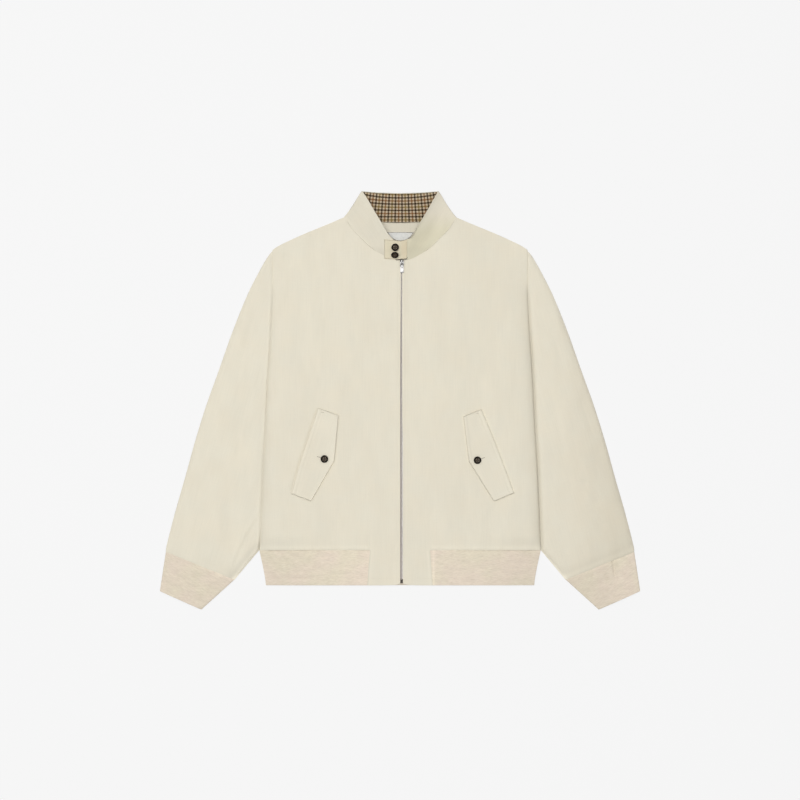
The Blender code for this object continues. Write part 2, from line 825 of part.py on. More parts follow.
def holes_mesh(name):
    """Four pins that cut a button's holes."""
    bm = bmesh.new()
    for x_sign, y_sign in ((1, 1), (-1, 1), (-1, -1), (1, -1)):
        centre = Vector((x_sign * HOLE_SPREAD, y_sign * HOLE_SPREAD, BUTTON_THICKNESS / 2)) * MM
        bmesh.ops.create_cone(
            bm,
            cap_ends=True,
            segments=8,
            radius1=HOLE_DIAMETER / 2 * MM,
            radius2=HOLE_DIAMETER / 2 * MM,
            depth=2 * BUTTON_THICKNESS * MM,
            matrix=Matrix.Translation(centre),
        )
    return mesh_from(bm, name)


def button(name, x, y, level, tilt=0.0):
    """Button at x, y, turned up by tilt degrees with its lower rim on level."""
    obj = make_object(name, button_mesh(), "button")
    lean = math.radians(tilt)
    lift = BUTTON_FOOT * BUTTON_DIAMETER / 2 * math.sin(lean)
    place = Matrix.Translation(Vector((x, y, level + lift)) * MM)
    obj.matrix_world = place @ Matrix.Rotation(lean, 4, "X")
    combine(obj, "DIFFERENCE", holes_mesh(f"{name}_holes"))
    return obj


# Zip


def zip_tape(side):
    inner = CHAIN_WIDTH / 2 + SEAM
    outer = inner + TAPE_WIDTH
    if side == "left":
        x_range = (ZIP_X + inner, ZIP_X + outer)
    else:
        x_range = (ZIP_X - outer, ZIP_X - inner)
    name = f"zip_tape_{side}"
    levels = (TAPE_LEVEL, TAPE_LEVEL + TAPE_WALL)
    return make_object(name, box_mesh(name, x_range, (TAPE_HEM_Y, TAPE_TOP_Y), levels), "tape")


def zip_chain():
    x_range = (ZIP_X - CHAIN_WIDTH / 2, ZIP_X + CHAIN_WIDTH / 2)
    levels = (TAPE_LEVEL, TAPE_LEVEL + CHAIN_HEIGHT)
    mesh = box_mesh("zip_chain", x_range, (CHAIN_BOTTOM_Y, CHAIN_TOP_Y), levels)
    return make_object("zip_chain", mesh, "metal")


def zip_box():
    """Retaining box that holds the two tapes together at the hem."""
    half = CHAIN_WIDTH / 2
    top_y = CHAIN_BOTTOM_Y - SEAM
    levels = (TAPE_LEVEL, TAPE_LEVEL + CHAIN_HEIGHT + SLIDER_ROOM)
    y_range = (top_y - BOX_LENGTH, top_y)
    mesh = box_mesh("zip_box", (ZIP_X - half, ZIP_X + half), y_range, levels)
    box = make_object("zip_box", mesh, "metal")
    edge = box.modifiers.new("rounded edge", "BEVEL")
    edge.width = BOX_EDGE * MM
    edge.segments = 1
    return box


def zip_slider():
    """Two wings joined by a post at the top, with an arch on the upper one for the pull."""
    half = SLIDER_WIDTH / 2
    upper_bottom = TAPE_LEVEL + CHAIN_HEIGHT + SLIDER_ROOM
    upper_top = upper_bottom + UPPER_WING
    lower_top = TAPE_LEVEL - SLIDER_ROOM
    lower_bottom = lower_top - LOWER_WING
    shield = [
        (ZIP_X - 0.78 * half, SLIDER_BOTTOM_Y),
        (ZIP_X + 0.78 * half, SLIDER_BOTTOM_Y),
        (ZIP_X + half, SLIDER_SHOULDER_Y),
        (ZIP_X + 0.8 * half, SLIDER_TOP_Y),
        (ZIP_X - 0.8 * half, SLIDER_TOP_Y),
        (ZIP_X - half, SLIDER_SHOULDER_Y),
    ]
    slider = make_object(
        "zip_slider", prism_mesh("zip_slider", shield, upper_bottom, upper_top), "metal"
    )
    lower_wing = prism_mesh("slider_lower_wing", shield, lower_bottom, lower_top)
    post = box_mesh(
        "slider_post",
        (ZIP_X - POST_WIDTH / 2, ZIP_X + POST_WIDTH / 2),
        (CHAIN_TOP_Y + SEAM, SLIDER_TOP_Y - 2 * SEAM),
        (lower_top - LOWER_WING / 2, upper_bottom + UPPER_WING / 2),
    )
    combine(slider, "UNION", post)
    combine(slider, "UNION", lower_wing)
    combine(slider, "UNION", arch_mesh(upper_top - SEAM))
    return slider


def arch_mesh(foot_z):
    """Bridge that runs along the zip over the pull's bar."""
    start, end = PIVOT_Y - 2.4, PIVOT_Y + 4.0
    roof = PIVOT_Z + ARCH_ROOF
    ceiling = PIVOT_Z + PULL_BAR / 2 + ARCH_ROOM
    profile = [  # y, z
        (start, foot_z),
        (start + ARCH_LEG, foot_z),
        (start + ARCH_LEG, ceiling),
        (end - ARCH_LEG, ceiling),
        (end - ARCH_LEG, foot_z),
        (end, foot_z),
        (end, roof - 0.8),
        (end - 1.0, roof),
        (start + 1.0, roof),
        (start, roof - 0.8),
    ]
    bm = bmesh.new()
    left_x = (ZIP_X - ARCH_WIDTH / 2) * MM
    face = bm.faces.new([bm.verts.new((left_x, y * MM, z * MM)) for y, z in profile])
    raised = bmesh.ops.extrude_face_region(bm, geom=[face])["geom"]
    corners = [item for item in raised if isinstance(item, bmesh.types.BMVert)]
    bmesh.ops.translate(bm, verts=corners, vec=(ARCH_WIDTH * MM, 0, 0))
    bmesh.ops.recalc_face_normals(bm, faces=bm.faces)
    return mesh_from(bm, "slider_arch")


def zip_pull():
    """Pull tab with its bar on the object's origin, lying down the zip."""
    inner = ARCH_WIDTH / 2 + SEAM
    neck = inner + ARM_WIDTH
    half = PULL_WIDTH / 2
    radius = PULL_BAR / 2
    end = PULL_END_Y - PIVOT_Y
    outline = [
        (-half + PULL_CORNER, end),
        (half - PULL_CORNER, end),
        (half, end + PULL_CORNER),
        (half, -ARM_LENGTH - 0.8),
        (neck, -ARM_LENGTH),
        (neck, 0),
        (-neck, 0),
        (-neck, -ARM_LENGTH),
        (-half, -ARM_LENGTH - 0.8),
        (-half, end + PULL_CORNER),
    ]
    pull = make_object("zip_pull", prism_mesh("zip_pull", outline, -radius, radius), "metal")
    pull.location = Vector((ZIP_X, PIVOT_Y, PIVOT_Z)) * MM
    bpy.context.view_layer.update()
    cut = (-2 * PULL_BAR, 2 * PULL_BAR)
    window = box_mesh("pull_window", (-inner, inner), (2 * SEAM - ARM_LENGTH, 3), cut)
    combine(pull, "DIFFERENCE", window)
    hole_centre = (0, -ARM_LENGTH - 2.6, 0)
    hole = cylinder_mesh("pull_hole", PULL_HOLE_DIAMETER / 2, 4, 12, hole_centre, (0, 0, 1))
    combine(pull, "DIFFERENCE", hole)
    bar = cylinder_mesh("pull_bar", radius, 2 * neck, 12, (0, 0, 0), (1, 0, 0))
    combine(pull, "UNION", bar)
    return pull


def build_jacket():
    back_panel()
    hem_rib_back()
    front_panel("left", ZIP_X + ZIP_OPENING / 2)
    front_panel("right", ZIP_OPENING / 2 - ZIP_X)
    for side in ("left", "right"):
        sleeve(side)
        cuff(side)
        hem_rib_front(side)
        collar_front(side)
        zip_tape(side)
        pocket_flap(side)
        x, y = on_flap(side, *FLAP_BUTTON)
        button(f"flap_button_{side}", x, y, FLAP_LEVEL + FLAP_WALL + SEAM)
    collar_back()
    collar_lining()
    neck_facing()
    label()
    collar_tab()
    for name, x, y, tilt in TAB_BUTTONS:
        button(name, x, y, TAB_LEVEL + FLAP_WALL + SEAM, tilt)
    zip_chain()
    zip_box()
    zip_slider()
    zip_pull()


for old in list(bpy.data.objects):
    bpy.data.objects.remove(old, do_unlink=True)
JACKET = collection("harrington_jacket")
HELPERS = collection("helpers")
build_jacket()
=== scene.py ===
"""Looks of a harrington jacket, zipped up and laid flat on its back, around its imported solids.

Tables are in millimetres in the frame of the solids: +X is the wearer's left, +Y runs up to
the collar and Z = 0 is the floor under the back. A plan is an array of (x, y) points.
"""

import math
from functools import partial

import bmesh
import bpy
import numpy as np
from mathutils import Matrix, Vector


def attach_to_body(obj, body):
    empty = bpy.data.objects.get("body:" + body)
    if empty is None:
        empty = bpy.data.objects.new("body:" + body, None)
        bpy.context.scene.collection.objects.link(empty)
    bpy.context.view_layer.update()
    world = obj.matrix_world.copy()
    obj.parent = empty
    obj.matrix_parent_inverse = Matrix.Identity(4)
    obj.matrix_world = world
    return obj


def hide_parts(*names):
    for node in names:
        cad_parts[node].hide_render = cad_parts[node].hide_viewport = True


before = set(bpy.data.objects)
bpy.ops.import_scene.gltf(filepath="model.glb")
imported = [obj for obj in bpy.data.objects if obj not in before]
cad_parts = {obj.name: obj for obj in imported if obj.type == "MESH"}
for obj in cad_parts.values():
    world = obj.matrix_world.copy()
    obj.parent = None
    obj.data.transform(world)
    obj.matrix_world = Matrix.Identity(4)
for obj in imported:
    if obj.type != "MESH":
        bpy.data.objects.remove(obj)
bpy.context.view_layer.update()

MM = 0.001
SIDES = ("left", "right")
SIGN = {"left": 1, "right": -1}  # the wearer's left lies at +X
MIRROR = {side: np.array([sign, 1.0]) for side, sign in SIGN.items()}

# Cloth, as in the solids
WALL = 1.4
LINING_WALL = 1.2
RIB_WALL = 2.2
TAPE_WALL = 1.0
FLAP_WALL = 1.8
SEAM = 0.3
SEAM_UNDERLAP = 0.6  # cloth runs on this far under its neighbour where a seam joins them
SHELL_THICKNESS = 1.0  # of the shell cloth that is shown, whose top is the solid's top

# Body
HEM_Y = -342.0
RIB_SEAM_Y = -277.5
UNDERARM_Y = -46.0
COLLAR_TOP_Y = 383.0
PLACKET_AT_SEAM = 56.0
PLACKET_AT_HEM = 61.0
HEM_CORNER_LIFT = 2.5
HEM_CORNER_REACH = 9.0
ARMHOLE_LAP = 12.0
SHOULDER_LINE = [(104, 338), (120, 331), (145.5, 320.5), (185, 304), (221, 287), (236, 277.5)]
BACK_NECKLINE = [(0, 327.8), (50, 330), (104, 338)]
FRONT_NECKLINE = [(17, 262), (37.5, 271.5), (56.5, 285), (72, 300), (88.5, 317), (98, 331.5), (104, 338)]
NECK_SEAM_SHIFT = {"left": (0.9, -1.3), "right": (0.0, 0.0)}
NECK_BASE_Y = 260.0
SIDE_LINE = [
    (260.2, RIB_SEAM_Y), (257.5, -212), (254, -133), (249, UNDERARM_Y), (244.5, 47), (237.5, 148),
    (235, 208), (236, 277.5),
]
RIB_SIDE = [(248, HEM_Y), (249.5, -328.5), (253.5, -307), (256, -295.5), (260.2, RIB_SEAM_Y)]

# Sleeve and cuff
SLEEVE_OUTER = [
    (236, 277.5), (247, 265), (265, 233.5), (287, 189), (313.5, 122.5), (337, 56), (361, -11),
    (381.5, -77), (400, -144), (419, -210.5), (431.5, -268), (433, -280),
]
CUFF_SEAM_INNER = (305.6, -331.7)
CUFF_SEAM = [CUFF_SEAM_INNER, SLEEVE_OUTER[-1]]
CUFF_OUTER_CORNER = (444, -352)
CUFF_INNER_CORNER = (366.5, -386.5)

# Collar, tab, facing and label
COLLAR_TOP = [(0, COLLAR_TOP_Y), (40, 384.2), (70.5, 386.5)]
COLLAR_FOLD = [(104, 338), (96.7, 347), (89.2, 357.7), (82, 369), (75.8, 379.5), (70.5, 386.5)]
COLLAR_EDGE = {
    "left": [
        (13.5, 295.6), (19, 298.6), (24.6, 303.8), (28.6, 311.2), (39.4, 329.5), (53, 350.5),
        (68.4, 376.5), (73.6, 385.7),
    ],
    "right": [(1.5, 287), (12, 296.5), (24, 311), (34.4, 329), (46.2, 349), (59.9, 373), (69, 386.3)],
}
COLLAR_END = {"left": (13.5, 261.9), "right": (1.5, 261.3)}
TAB_TOP = [(-29, 296.5), (-2, 293.8), (4, 294), (13.2, 296.4)]
TAB_BOTTOM = [(-29, 261.5), (-8, 260), (13.2, 261)]
TAB_STITCHED = [  # the row of stitching inside the tab's edges
    (12, 263.2), (-8, 262.2), (-26.8, 263.6), (-26.8, 294.2), (-2, 291.6), (4, 291.8), (12, 295.2),
]
# Path of the dark cord that paints the shadow under the tab's lower edge.
TAB_SHADOW_CORD_PATH = [
    (-8.2, 259.4), (-4.7, 258.9), (-1, 259.8), (2.7, 260.7), (6.4, 260.2), (10, 260.7),
    (12.6, 262), (13.4, 263.8),
]
LINING_INSET = 1.5
FACING_DEPTH = 45.0
FACING_END_DEPTH = 8.0
FACING_HALF_WIDTH = 92.0
LABEL_MIDDLE_X = 0.8
LABEL_TOP_Y = 310.4
LABEL_WIDTH = 48.0
LABEL_DEPTH = 16.4
LABEL_WALL = 1.0
LABEL_SEWN = 0.6  # the overlock stitches' middle lies this far inside the label's edge

# Pocket flaps: s runs down the seam from its top corner, w across from the seam
FLAP_LENGTH = 165.5
FLAP_SEAM_LINE = {  # the seam isn't quite straight: how far across it runs at each place along
    "right": [(0, -3.4), (100, -3.6), (117, -2.9), (133, -2.1), (149, -1.3), (FLAP_LENGTH, -0.4)],
    "left": [(0, -2.2), (21, -3.4), (53, -4.4), (101, -5.0), (133, -5.0), (FLAP_LENGTH, -4.4)],
}
FLAP_FREE_EDGE = {
    "right": [(1, 37), (82.5, 56.3), (167, 39.2)],
    "left": [(1, 34), (82.5, 53.6), (167, 36.2)],
}
FLAP_TOP_CORNER = {"right": (-148.6, -15.2), "left": (148.3, -17.2)}
FLAP_TILT = {"right": 18.4, "left": 20.6}
FLAP_BUTTON = (85.5, 38.0)
FLAP_STITCH_ROW = 7.8
FLAP_FOLD_DEPTH = {"right": 1.35, "left": 0.75}
FLAP_BAND = (142.0, 220.0)  # distances from the middle between which the flaps' seams run

# Buttons
BUTTON_DIAMETER = 14.0
BUTTON_THREAD_LEVEL = 2.25
BUTTON_THREAD_STEP = 0.12  # each of the crossed threads lies this much above the one before
BUTTON_THREAD_GAP = 0.56
BUTTON_THICKNESS = 3.0
BUTTON_FOOT = 0.85
HOLE_DIAMETER = 1.7
HOLE_SPREAD = 1.9
TAB_BUTTONS = [  # name, x, y, degrees that the lower rim leans down
    ("tab_button_upper", -9.0, 281.8, 0.0),
    ("tab_button_lower", -9.5, 268.6, 42.0),
]

# Zip
ZIP_X = 3.5
ZIP_OPENING = 7.4
CHAIN_TOP_Y = 255.0
CHAIN_BOTTOM_Y = -331.0
CHAIN_WIDTH = 5.2
CHAIN_HEIGHT = 2.4
BOX_LENGTH = 6.5
TAPE_WIDTH = 13.0
TAPE_HEM_Y = -338.0
TAPE_TOP_Y = 257.0
SLIDER_WIDTH = 6.8
SLIDER_TOP_Y = 258.6
SLIDER_SHOULDER_Y = 255.1
SLIDER_BOTTOM_Y = 248.0
SLIDER_ROOM = 0.4
UPPER_WING = 1.0
LOWER_WING = 0.9
PIVOT_Y = 252.2
PIVOT_Z = 8.4
PULL_BAR = 1.1
PULL_END_Y = 235.2
PULL_WIDTH = 6.2
ARM_WIDTH = 1.2
ARM_LENGTH = 4.7
ARCH_WIDTH = 1.6
ARCH_ROOF = 2.0
ARCH_ROOM = 0.35
ARCH_FEET = (-2.0, 3.4)  # its feet's places along the zip, from the pull's bar
# Dark bars on the slider's top that paint the shade beside its arch.
SLIDER_SHADE_BARS = [(0.7, 1.3), (5.3, 4.9)]  # x of each at its top and at its lower end

# Undersides of the layers above the floor
BACK_LINING_LEVEL = WALL + SEAM
LABEL_LEVEL = BACK_LINING_LEVEL + LINING_WALL + SEAM
SLEEVE_EDGE_HEIGHT = 2 * WALL + 0.4
CUFF_EDGE_HEIGHT = 2 * RIB_WALL + 0.3
LAP_LEVEL = SLEEVE_EDGE_HEIGHT + SEAM
FRONT_LEVEL = 5.1
COLLAR_FOLD_LEVEL = BACK_LINING_LEVEL + LINING_WALL + SEAM
TAB_LEVEL = FRONT_LEVEL + WALL + SEAM
FLAP_LEVEL = FRONT_LEVEL + WALL + SEAM
RIB_LEVEL = 4.7
RIB_SIDE_LEVEL = RIB_WALL + SEAM
TAPE_LEVEL = 3.7
EDGE_ROLL = 60.0
FRONT_NECK_SHARE = 0.41
BACK_NECK_SHARE = 0.46
FRONT_TOP_LEVELS = [  # share of a front's top edge, underside there
    (0.0, FRONT_LEVEL), (0.25, FRONT_LEVEL), (FRONT_NECK_SHARE, COLLAR_FOLD_LEVEL + 0.1),
    (0.53, BACK_LINING_LEVEL), (0.86, BACK_LINING_LEVEL), (0.94, LAP_LEVEL), (1.0, LAP_LEVEL),
]

# Soft form
BODY_RELIEF = 1.2  # the soft cloth of the fronts stands this far above their solids
SLEEVE_DRAWN_IN = 2.1  # the sleeve's outer edge lies this far inside the solid's
SLEEVE_ONTO_CUFF = 13.0  # over this length a sleeve comes down onto its cuff
SLEEVE_CROWN = {"left": 7.5, "right": 4.5}
SLEEVE_INNER_RISE = {"left": 13.0, "right": 2.5}
SLEEVE_OUTER_RISE = 75.0
SLEEVE_GROOVE = {"left": 2.2, "right": -0.6}  # how far the sleeve lies low beside the body
CROWN_AT_CUFF = 0.7
CUFF_CROWN = 2.0
FOLD_RADIUS = 3.2  # over this width a flattened sleeve rounds to its edge
CUFF_FOLD_RADIUS = 4.16
NECK_RISE = {"left": 10.0, "right": 6.0}  # the collar band stands this much higher at its free edge
NECK_RISE_WIDTH = 38.0
ZIP_EDGE_RISE = {"left": 0.6, "right": 2.0}  # how far each front's edge stands off the zip
ZIP_EDGE_REACH = 10.0
ZIP_COVER = {  # how far each front's edge is drawn in over the chain, at heights up the zip
    "left": [(-342, 1.8), (-75, 1.8), (-30, 3.1), (240, 3.1)],
    "right": [(-342, 0.3), (30, 0.5), (132, 1.0), (204, 1.7), (240, 1.7)],
}
FRONT_CALM = {"side": 16.0, "top": 20.0}  # over these widths a front's relief fades to its seams
NECK_TUCK = (1.8, 2.8)  # how far the neck edge folds in under the tab, and at which x
PLACKET_EDGE_DROP = 0.5
SIDE_ROLL = {"left": 28.0, "right": 32.0}  # over this width the body rolls down to its side
SIDE_SWELL = {"left": 6.5, "right": 6.2}
SIDE_SWELL_REACH = 120.0

# How far the warp leans on each piece, in degrees on the left side
SLEEVE_LEAN = 15.0
CUFF_LEAN = 22.0
COLLAR_LEAN = -35.0
TAB_LEAN = 90.0

# Ribs, stitches and teeth
RIB_PITCH = 2.4
RIB_DEPTH = 0.22
RIB_STEPS = 4
STITCH_PITCH = 2.9
STITCH_LENGTH = 2.3
STITCH_THICKNESS = 0.42
ZIP_STITCH_INSETS = {"left": (2.4, 8.4), "right": (2.4, 5.6)}
TOOTH_PITCH = 2.4
TOOTH_ROW_X = 1.5  # distance of each row of teeth from the zip's middle line
TOOTH_ROW_Z = TAPE_LEVEL + 1.25
HEM_ROW_RISE = 13.0  # the row of stitching on the hem lies this far above its edge
RIB_ROW_INSET = 7.4

# Fineness of the cloth meshes
STEP = 2.5
FINE_STEP = 0.5
STEP_GROWTH = 1.4
SLEEVE_GRID = (150.0, 400.0)  # across and along, as far as the steps are laid out for
COLLAR_GRID = (150.0, 40.0)
LINING_GRID = (100.0, 54.0)
TAB_GRID = (42.0, 36.0)
FLAP_GRID = (82.0, 86.0, 45.0)  # down to the free edge's corner, on from there, and across
CUFF_SEED = {"left": 44, "right": 43}  # the sleeve's and the cuff's tucks fall together
HEM_SEED = 11  # the front's and the hem rib's tucks fall together


# Lines and grids


def smoothstep(share):
    share = np.clip(share, 0.0, 1.0)
    return share * share * (3 - 2 * share)


def band(distance, middle, half_width):
    """A soft hump of height 1 round this distance."""
    return np.exp(-(((distance - middle) / half_width) ** 2))


def lookup(table, x):
    """Values at x of a table of (x, value) rows in rising x."""
    places, values = zip(*table)
    return np.interp(x, places, values)


class Line:
    """A line through points in plan, read by the share of its length: smooth, or straight runs."""

    SAMPLES = 12

    def __init__(self, points, smooth=True):
        knots = np.array([tuple(point) for point in points], float)
        self.points = self.smoothed(knots) if smooth else knots
        steps = np.linalg.norm(np.diff(self.points, axis=0), axis=1)
        self.lengths = np.concatenate([[0.0], np.cumsum(steps)])

    def smoothed(self, knots):
        padded = np.vstack([2 * knots[0] - knots[1], knots, 2 * knots[-1] - knots[-2]])
        t = np.arange(1, self.SAMPLES + 1)[:, None] / self.SAMPLES
        runs = [knots[:1]]
        for before, start, end, after in zip(padded, padded[1:], padded[2:], padded[3:]):
            runs.append(catmull(before, start, end, after, t))
        return np.vstack(runs)

    def at(self, share):
        wanted = np.asarray(share) * self.lengths[-1]
        return np.stack([np.interp(wanted, self.lengths, self.points[:, i]) for i in (0, 1)], -1)

    @property
    def length(self):
        return self.lengths[-1]


def catmull(before, start, end, after, t):
    return 0.5 * (
        2 * start
        + (end - before) * t
        + (2 * before - 5 * start + 4 * end - after) * t**2
        + (3 * start - before - 3 * end + after) * t**3
    )


def distance_to(plan, line):
    """How far each point of a plan is from a line."""
    nearest = np.full(plan.shape[:-1], np.inf)
    for start, end in zip(line.points, line.points[1:]):
        along = end - start
        share = np.clip((plan - start) @ along / (along @ along), 0.0, 1.0)
        gap = np.linalg.norm(plan - start - share[..., None] * along, axis=-1)
        nearest = np.minimum(nearest, gap)
    return nearest


def joined(first, second, corner):
    """One line of share 0 to 1 from two, whose common point is at share corner."""

    def at(share):
        share = np.asarray(share)
        early = first.at(np.minimum(share / corner, 1.0))
        late = second.at(np.maximum((share - corner) / (1 - corner), 0.0))
        return np.where((share <= corner)[..., None], early, late)

    return at


def moved(points, x=0.0, y=0.0):
    return [(px + x, py + y) for px, py in points]


def graded(length, step=STEP, near=FINE_STEP, far=FINE_STEP):
    """Shares of a length whose steps grow from fine ones at its ends to the full step."""
    heads = []
    for fine in (near, far):
        places, size = [0.0], fine
        while size < step and places[-1] + size < length / 3:
            places.append(places[-1] + size)
            size *= STEP_GROWTH
        heads.append(np.array(places))
    start, end = heads[0][-1], length - heads[1][-1]
    middle = np.linspace(start, end, max(2, round((end - start) / step) + 1))[1:-1]
    return np.concatenate([heads[0], middle, (length - heads[1])[::-1]]) / length


def patch(near, far, start, end, columns, rows):
    """Plan of a grid spanned between four edges, near at row share 0 and far at 1.

    An edge is given as points, as a line, or as a function of the share of its length.
    """
    near, far, start, end = (
        edge if callable(edge) else (edge if isinstance(edge, Line) else Line(edge)).at
        for edge in (near, far, start, end)
    )
    u = columns[None, :, None]
    v = rows[:, None, None]
    across = near(columns)[None] * (1 - v) + far(columns)[None] * v
    along = start(rows)[:, None] * (1 - u) + end(rows)[:, None] * u
    near_0, near_1 = near(np.array([0.0, 1.0]))
    far_0, far_1 = far(np.array([0.0, 1.0]))
    corners = (near_0 * (1 - u) + near_1 * u) * (1 - v) + (far_0 * (1 - u) + far_1 * u) * v
    return across + along - corners


def as_left(plan):
    """The plan with all of it laid on the left side."""
    return np.stack([np.abs(plan[..., 0]), plan[..., 1]], -1)


def quarter_round(distance, radius):
    """Rises from 0 to 1 over this radius as a quarter of a circle does."""
    return np.sqrt(1 - (1 - np.clip(distance / radius, 0, 1)) ** 2)


def side_x(y):
    return lookup([(py, px) for px, py in SIDE_LINE], y)


def lapped(gap=0.0):
    """Points of the side line moved in under the front by its lap, which ends at the rib seam."""
    points = [(SIDE_LINE[0][0] + SEAM - gap, RIB_SEAM_Y)]
    points += [(px - ARMHOLE_LAP - gap, py) for px, py in SIDE_LINE[1:-1]]
    top_x = SIDE_LINE[-1][0] - ARMHOLE_LAP - gap
    return [*points, (top_x, float(lookup(SHOULDER_LINE, top_x)))]


# Soft relief of the cloth

BODY_CREASES = [  # x and y of both ends, bow, half width, height
    (-246, 240, -232, 208, 2, 5.0, -1.6),
    (-226, 246, -238, 214, -2, 4.5, -1.3),
    (-216, 270, -198, 250, 0, 8.0, -1.2),
    (-204, 226, -214, 176, 3, 9.0, 0.5),
    (-132, 30, -104, -4, 3, 13.0, -0.6),
    (-176, 252, -150, 70, 12, 24.0, 0.8),
    (-92, 286, -118, 160, -8, 18.0, 0.6),
    (-66, 190, -72, -60, 6, 26.0, 0.5),
    (-214, 110, -206, -90, 5, 15.0, 0.6),
    (-226, -60, -204, -230, 6, 13.0, 0.8),
    (-196, -150, -176, -262, -4, 12.0, -0.7),
    (-96, -120, -88, -262, 4, 20.0, 0.6),
    (-44, -60, -50, -255, 2, 15.0, -0.4),
    (246, 236, 234, 206, -2, 5.0, -1.2),
    (224, 248, 236, 216, 2, 5.0, -0.6),
    (182, 252, 158, 66, -12, 24.0, 0.8),
    (96, 284, 122, 158, 9, 18.0, 0.6),
    (70, 196, 62, -48, 6, 26.0, 0.5),
    (212, 120, 216, -96, -5, 14.0, 0.7),
    (232, -40, 214, -228, -6, 12.0, 0.9),
    (138, -178, 150, -266, 3, 10.0, 0.8),
    (168, -196, 174, -268, -3, 8.0, -0.8),
    (196, -188, 206, -262, 3, 9.0, 0.8),
    (104, -110, 94, -250, -4, 18.0, 0.5),
    (46, -40, 52, -250, 3, 14.0, -0.4),
]
SLEEVE_CREASES = {
    "right": [
        (-262, 200, -316, 40, -8, 11.0, 0.9),
        (-276, 150, -300, 60, 4, 7.0, -0.8),
        (-290, 60, -352, -130, -10, 16.0, 1.1),
        (-268, 30, -300, -110, -8, 9.0, -0.9),
        (-326, -20, -372, -190, -6, 11.0, -0.8),
        (-262, -60, -282, -190, 6, 9.0, 0.8),
        (-259, -214, -311, -319, -4, 2.2, -1.6),
        (-264, -212, -317, -316, -4, 4.5, 1.0),
        (-250, -150, -262, -226, -2, 5.0, 0.9),
        (-336, -200, -352, -300, 4, 8.0, 0.9),
        (-374, -212, -392, -296, 3, 8.0, -0.7),
    ],
    "left": [
        (262, 200, 314, 44, 8, 11.0, 0.9),
        (278, 146, 306, 50, -4, 7.0, -0.9),
        (290, 60, 350, -128, 10, 16.0, 1.1),
        (268, 26, 302, -116, 8, 9.0, -0.9),
        (336, 2, 360, -70, 4, 9.0, -1.9),
        (340, -148, 368, -190, 3, 8.0, -1.7),
        (350, -204, 376, -234, 2, 8.0, -1.6),
        (262, -60, 284, -186, -6, 9.0, 0.8),
        (281, -270, 318, -328, 0, 2.2, -1.5),
        (287, -266, 325, -325, 0, 4.5, 0.9),
        (340, -236, 356, -300, -4, 8.0, 0.9),
        (388, -226, 404, -290, -3, 8.0, 0.7),
    ],
}
CUFF_CREASES = {
    "right": [(-374, -338, -339, -356, 2, 3.5, -1.5), (-396, -318, -404, -352, 0, 9.0, 0.7)],
    "left": [
        (350, -352, 402, -324, 2, 3.5, -1.6),
        (392, -290, 397, -328, 0, 2.0, -1.9),
        (366, -318, 372, -350, 0, 9.0, 0.6),
    ],
}
HEM_RIB_CREASES = [
    (-244, -300, -176, -306, 2, 5.0, -0.5),
    (-150, -318, -90, -312, 2, 6.0, 0.4),
    (96, -308, 160, -314, 2, 6.0, -0.4),
    (186, -300, 246, -306, -2, 5.0, 0.5),
]
COLLAR_CREASES = [
    (-82, 368, -60, 322, 4, 8.0, -1.5),
    (-62, 322, -40, 292, 2, 9.0, -1.4),
    (-84, 336, -62, 300, -4, 7.0, 0.6),
    (70, 352, 30, 282, 6, 11.0, -1.3),
    (86, 338, 62, 300, 4, 7.0, 0.5),
]
BACK_CREASES = [
    (-150, 200, -120, -40, 8, 14.0, 1.2),
    (-60, 120, -84, -150, -8, 18.0, 1.0),
    (34, 180, 58, -60, 6, 15.0, 1.1),
    (140, 160, 118, -120, -8, 13.0, 1.3),
    (-190, -60, -160, -240, 6, 9.0, 1.0),
    (176, -80, 200, -250, 4, 9.0, 1.0),
    (-20, -120, -6, -262, 3, 11.0, 0.8),
    (86, -150, 74, -262, -3, 9.0, 0.9),
]


def crease_relief(plan, creases):
    """Height of soft ridges and, with a height below 0, troughs, which fade at both ends."""
    total = np.zeros(plan.shape[:-1])
    for x0, y0, x1, y1, bow, half_width, height in creases:
        start = np.array([x0, y0], float)
        along = np.array([x1, y1], float) - start
        length = np.linalg.norm(along)
        along /= length
        sideways = np.array([-along[1], along[0]])
        share = (plan - start) @ along / length
        middle = np.clip(share, 0.0, 1.0)
        across = (plan - start) @ sideways - 4 * bow * middle * (1 - middle)
        fade = smoothstep((share + 0.15) / 0.4) * smoothstep((1.15 - share) / 0.4)
        total += height * fade * band(across, 0, half_width)
    return total


def soft_noise(plan, size, seed):
    """Smooth unevenness from -1 to 1 whose bumps have this size, as (across, along) or one."""
    lattice = np.random.RandomState(seed).uniform(-1, 1, (64, 64))
    place = plan / np.broadcast_to(size, 2) + 31.7
    whole = np.floor(place).astype(int)
    part = smoothstep(place - whole)
    i, j = whole[..., 0] % 64, whole[..., 1] % 64
    i_next, j_next = (i + 1) % 64, (j + 1) % 64
    lower = lattice[i, j] * (1 - part[..., 0]) + lattice[i_next, j] * part[..., 0]
    upper = lattice[i, j_next] * (1 - part[..., 0]) + lattice[i_next, j_next] * part[..., 0]
    return lower * (1 - part[..., 1]) + upper * part[..., 1]


def puckers(along, away, seed, height=0.7):
    """Small uneven tucks where cloth is drawn into a rib, from the seam out; along runs on it."""
    place = np.stack([along, away * 0.25], -1)
    fine = soft_noise(place, 5.2, seed) + 0.5 * soft_noise(place, 2.6, seed + 1)
    coarse = soft_noise(place, 17.0, seed + 2)
    near = np.exp(-np.abs(away) / 7.0)
    return height * (1.1 * fine * near + 0.9 * coarse * np.exp(-np.abs(away) / 22.0))


def seam_dip(away, depth=0.6, width=2.0, swell=1.1, reach=14.0):
    """A seam lies low, and the cloth swells up beside it."""
    out = np.abs(away)
    return -depth * band(out, 0, width) + swell * (out / reach) * np.exp(1 - out / reach)


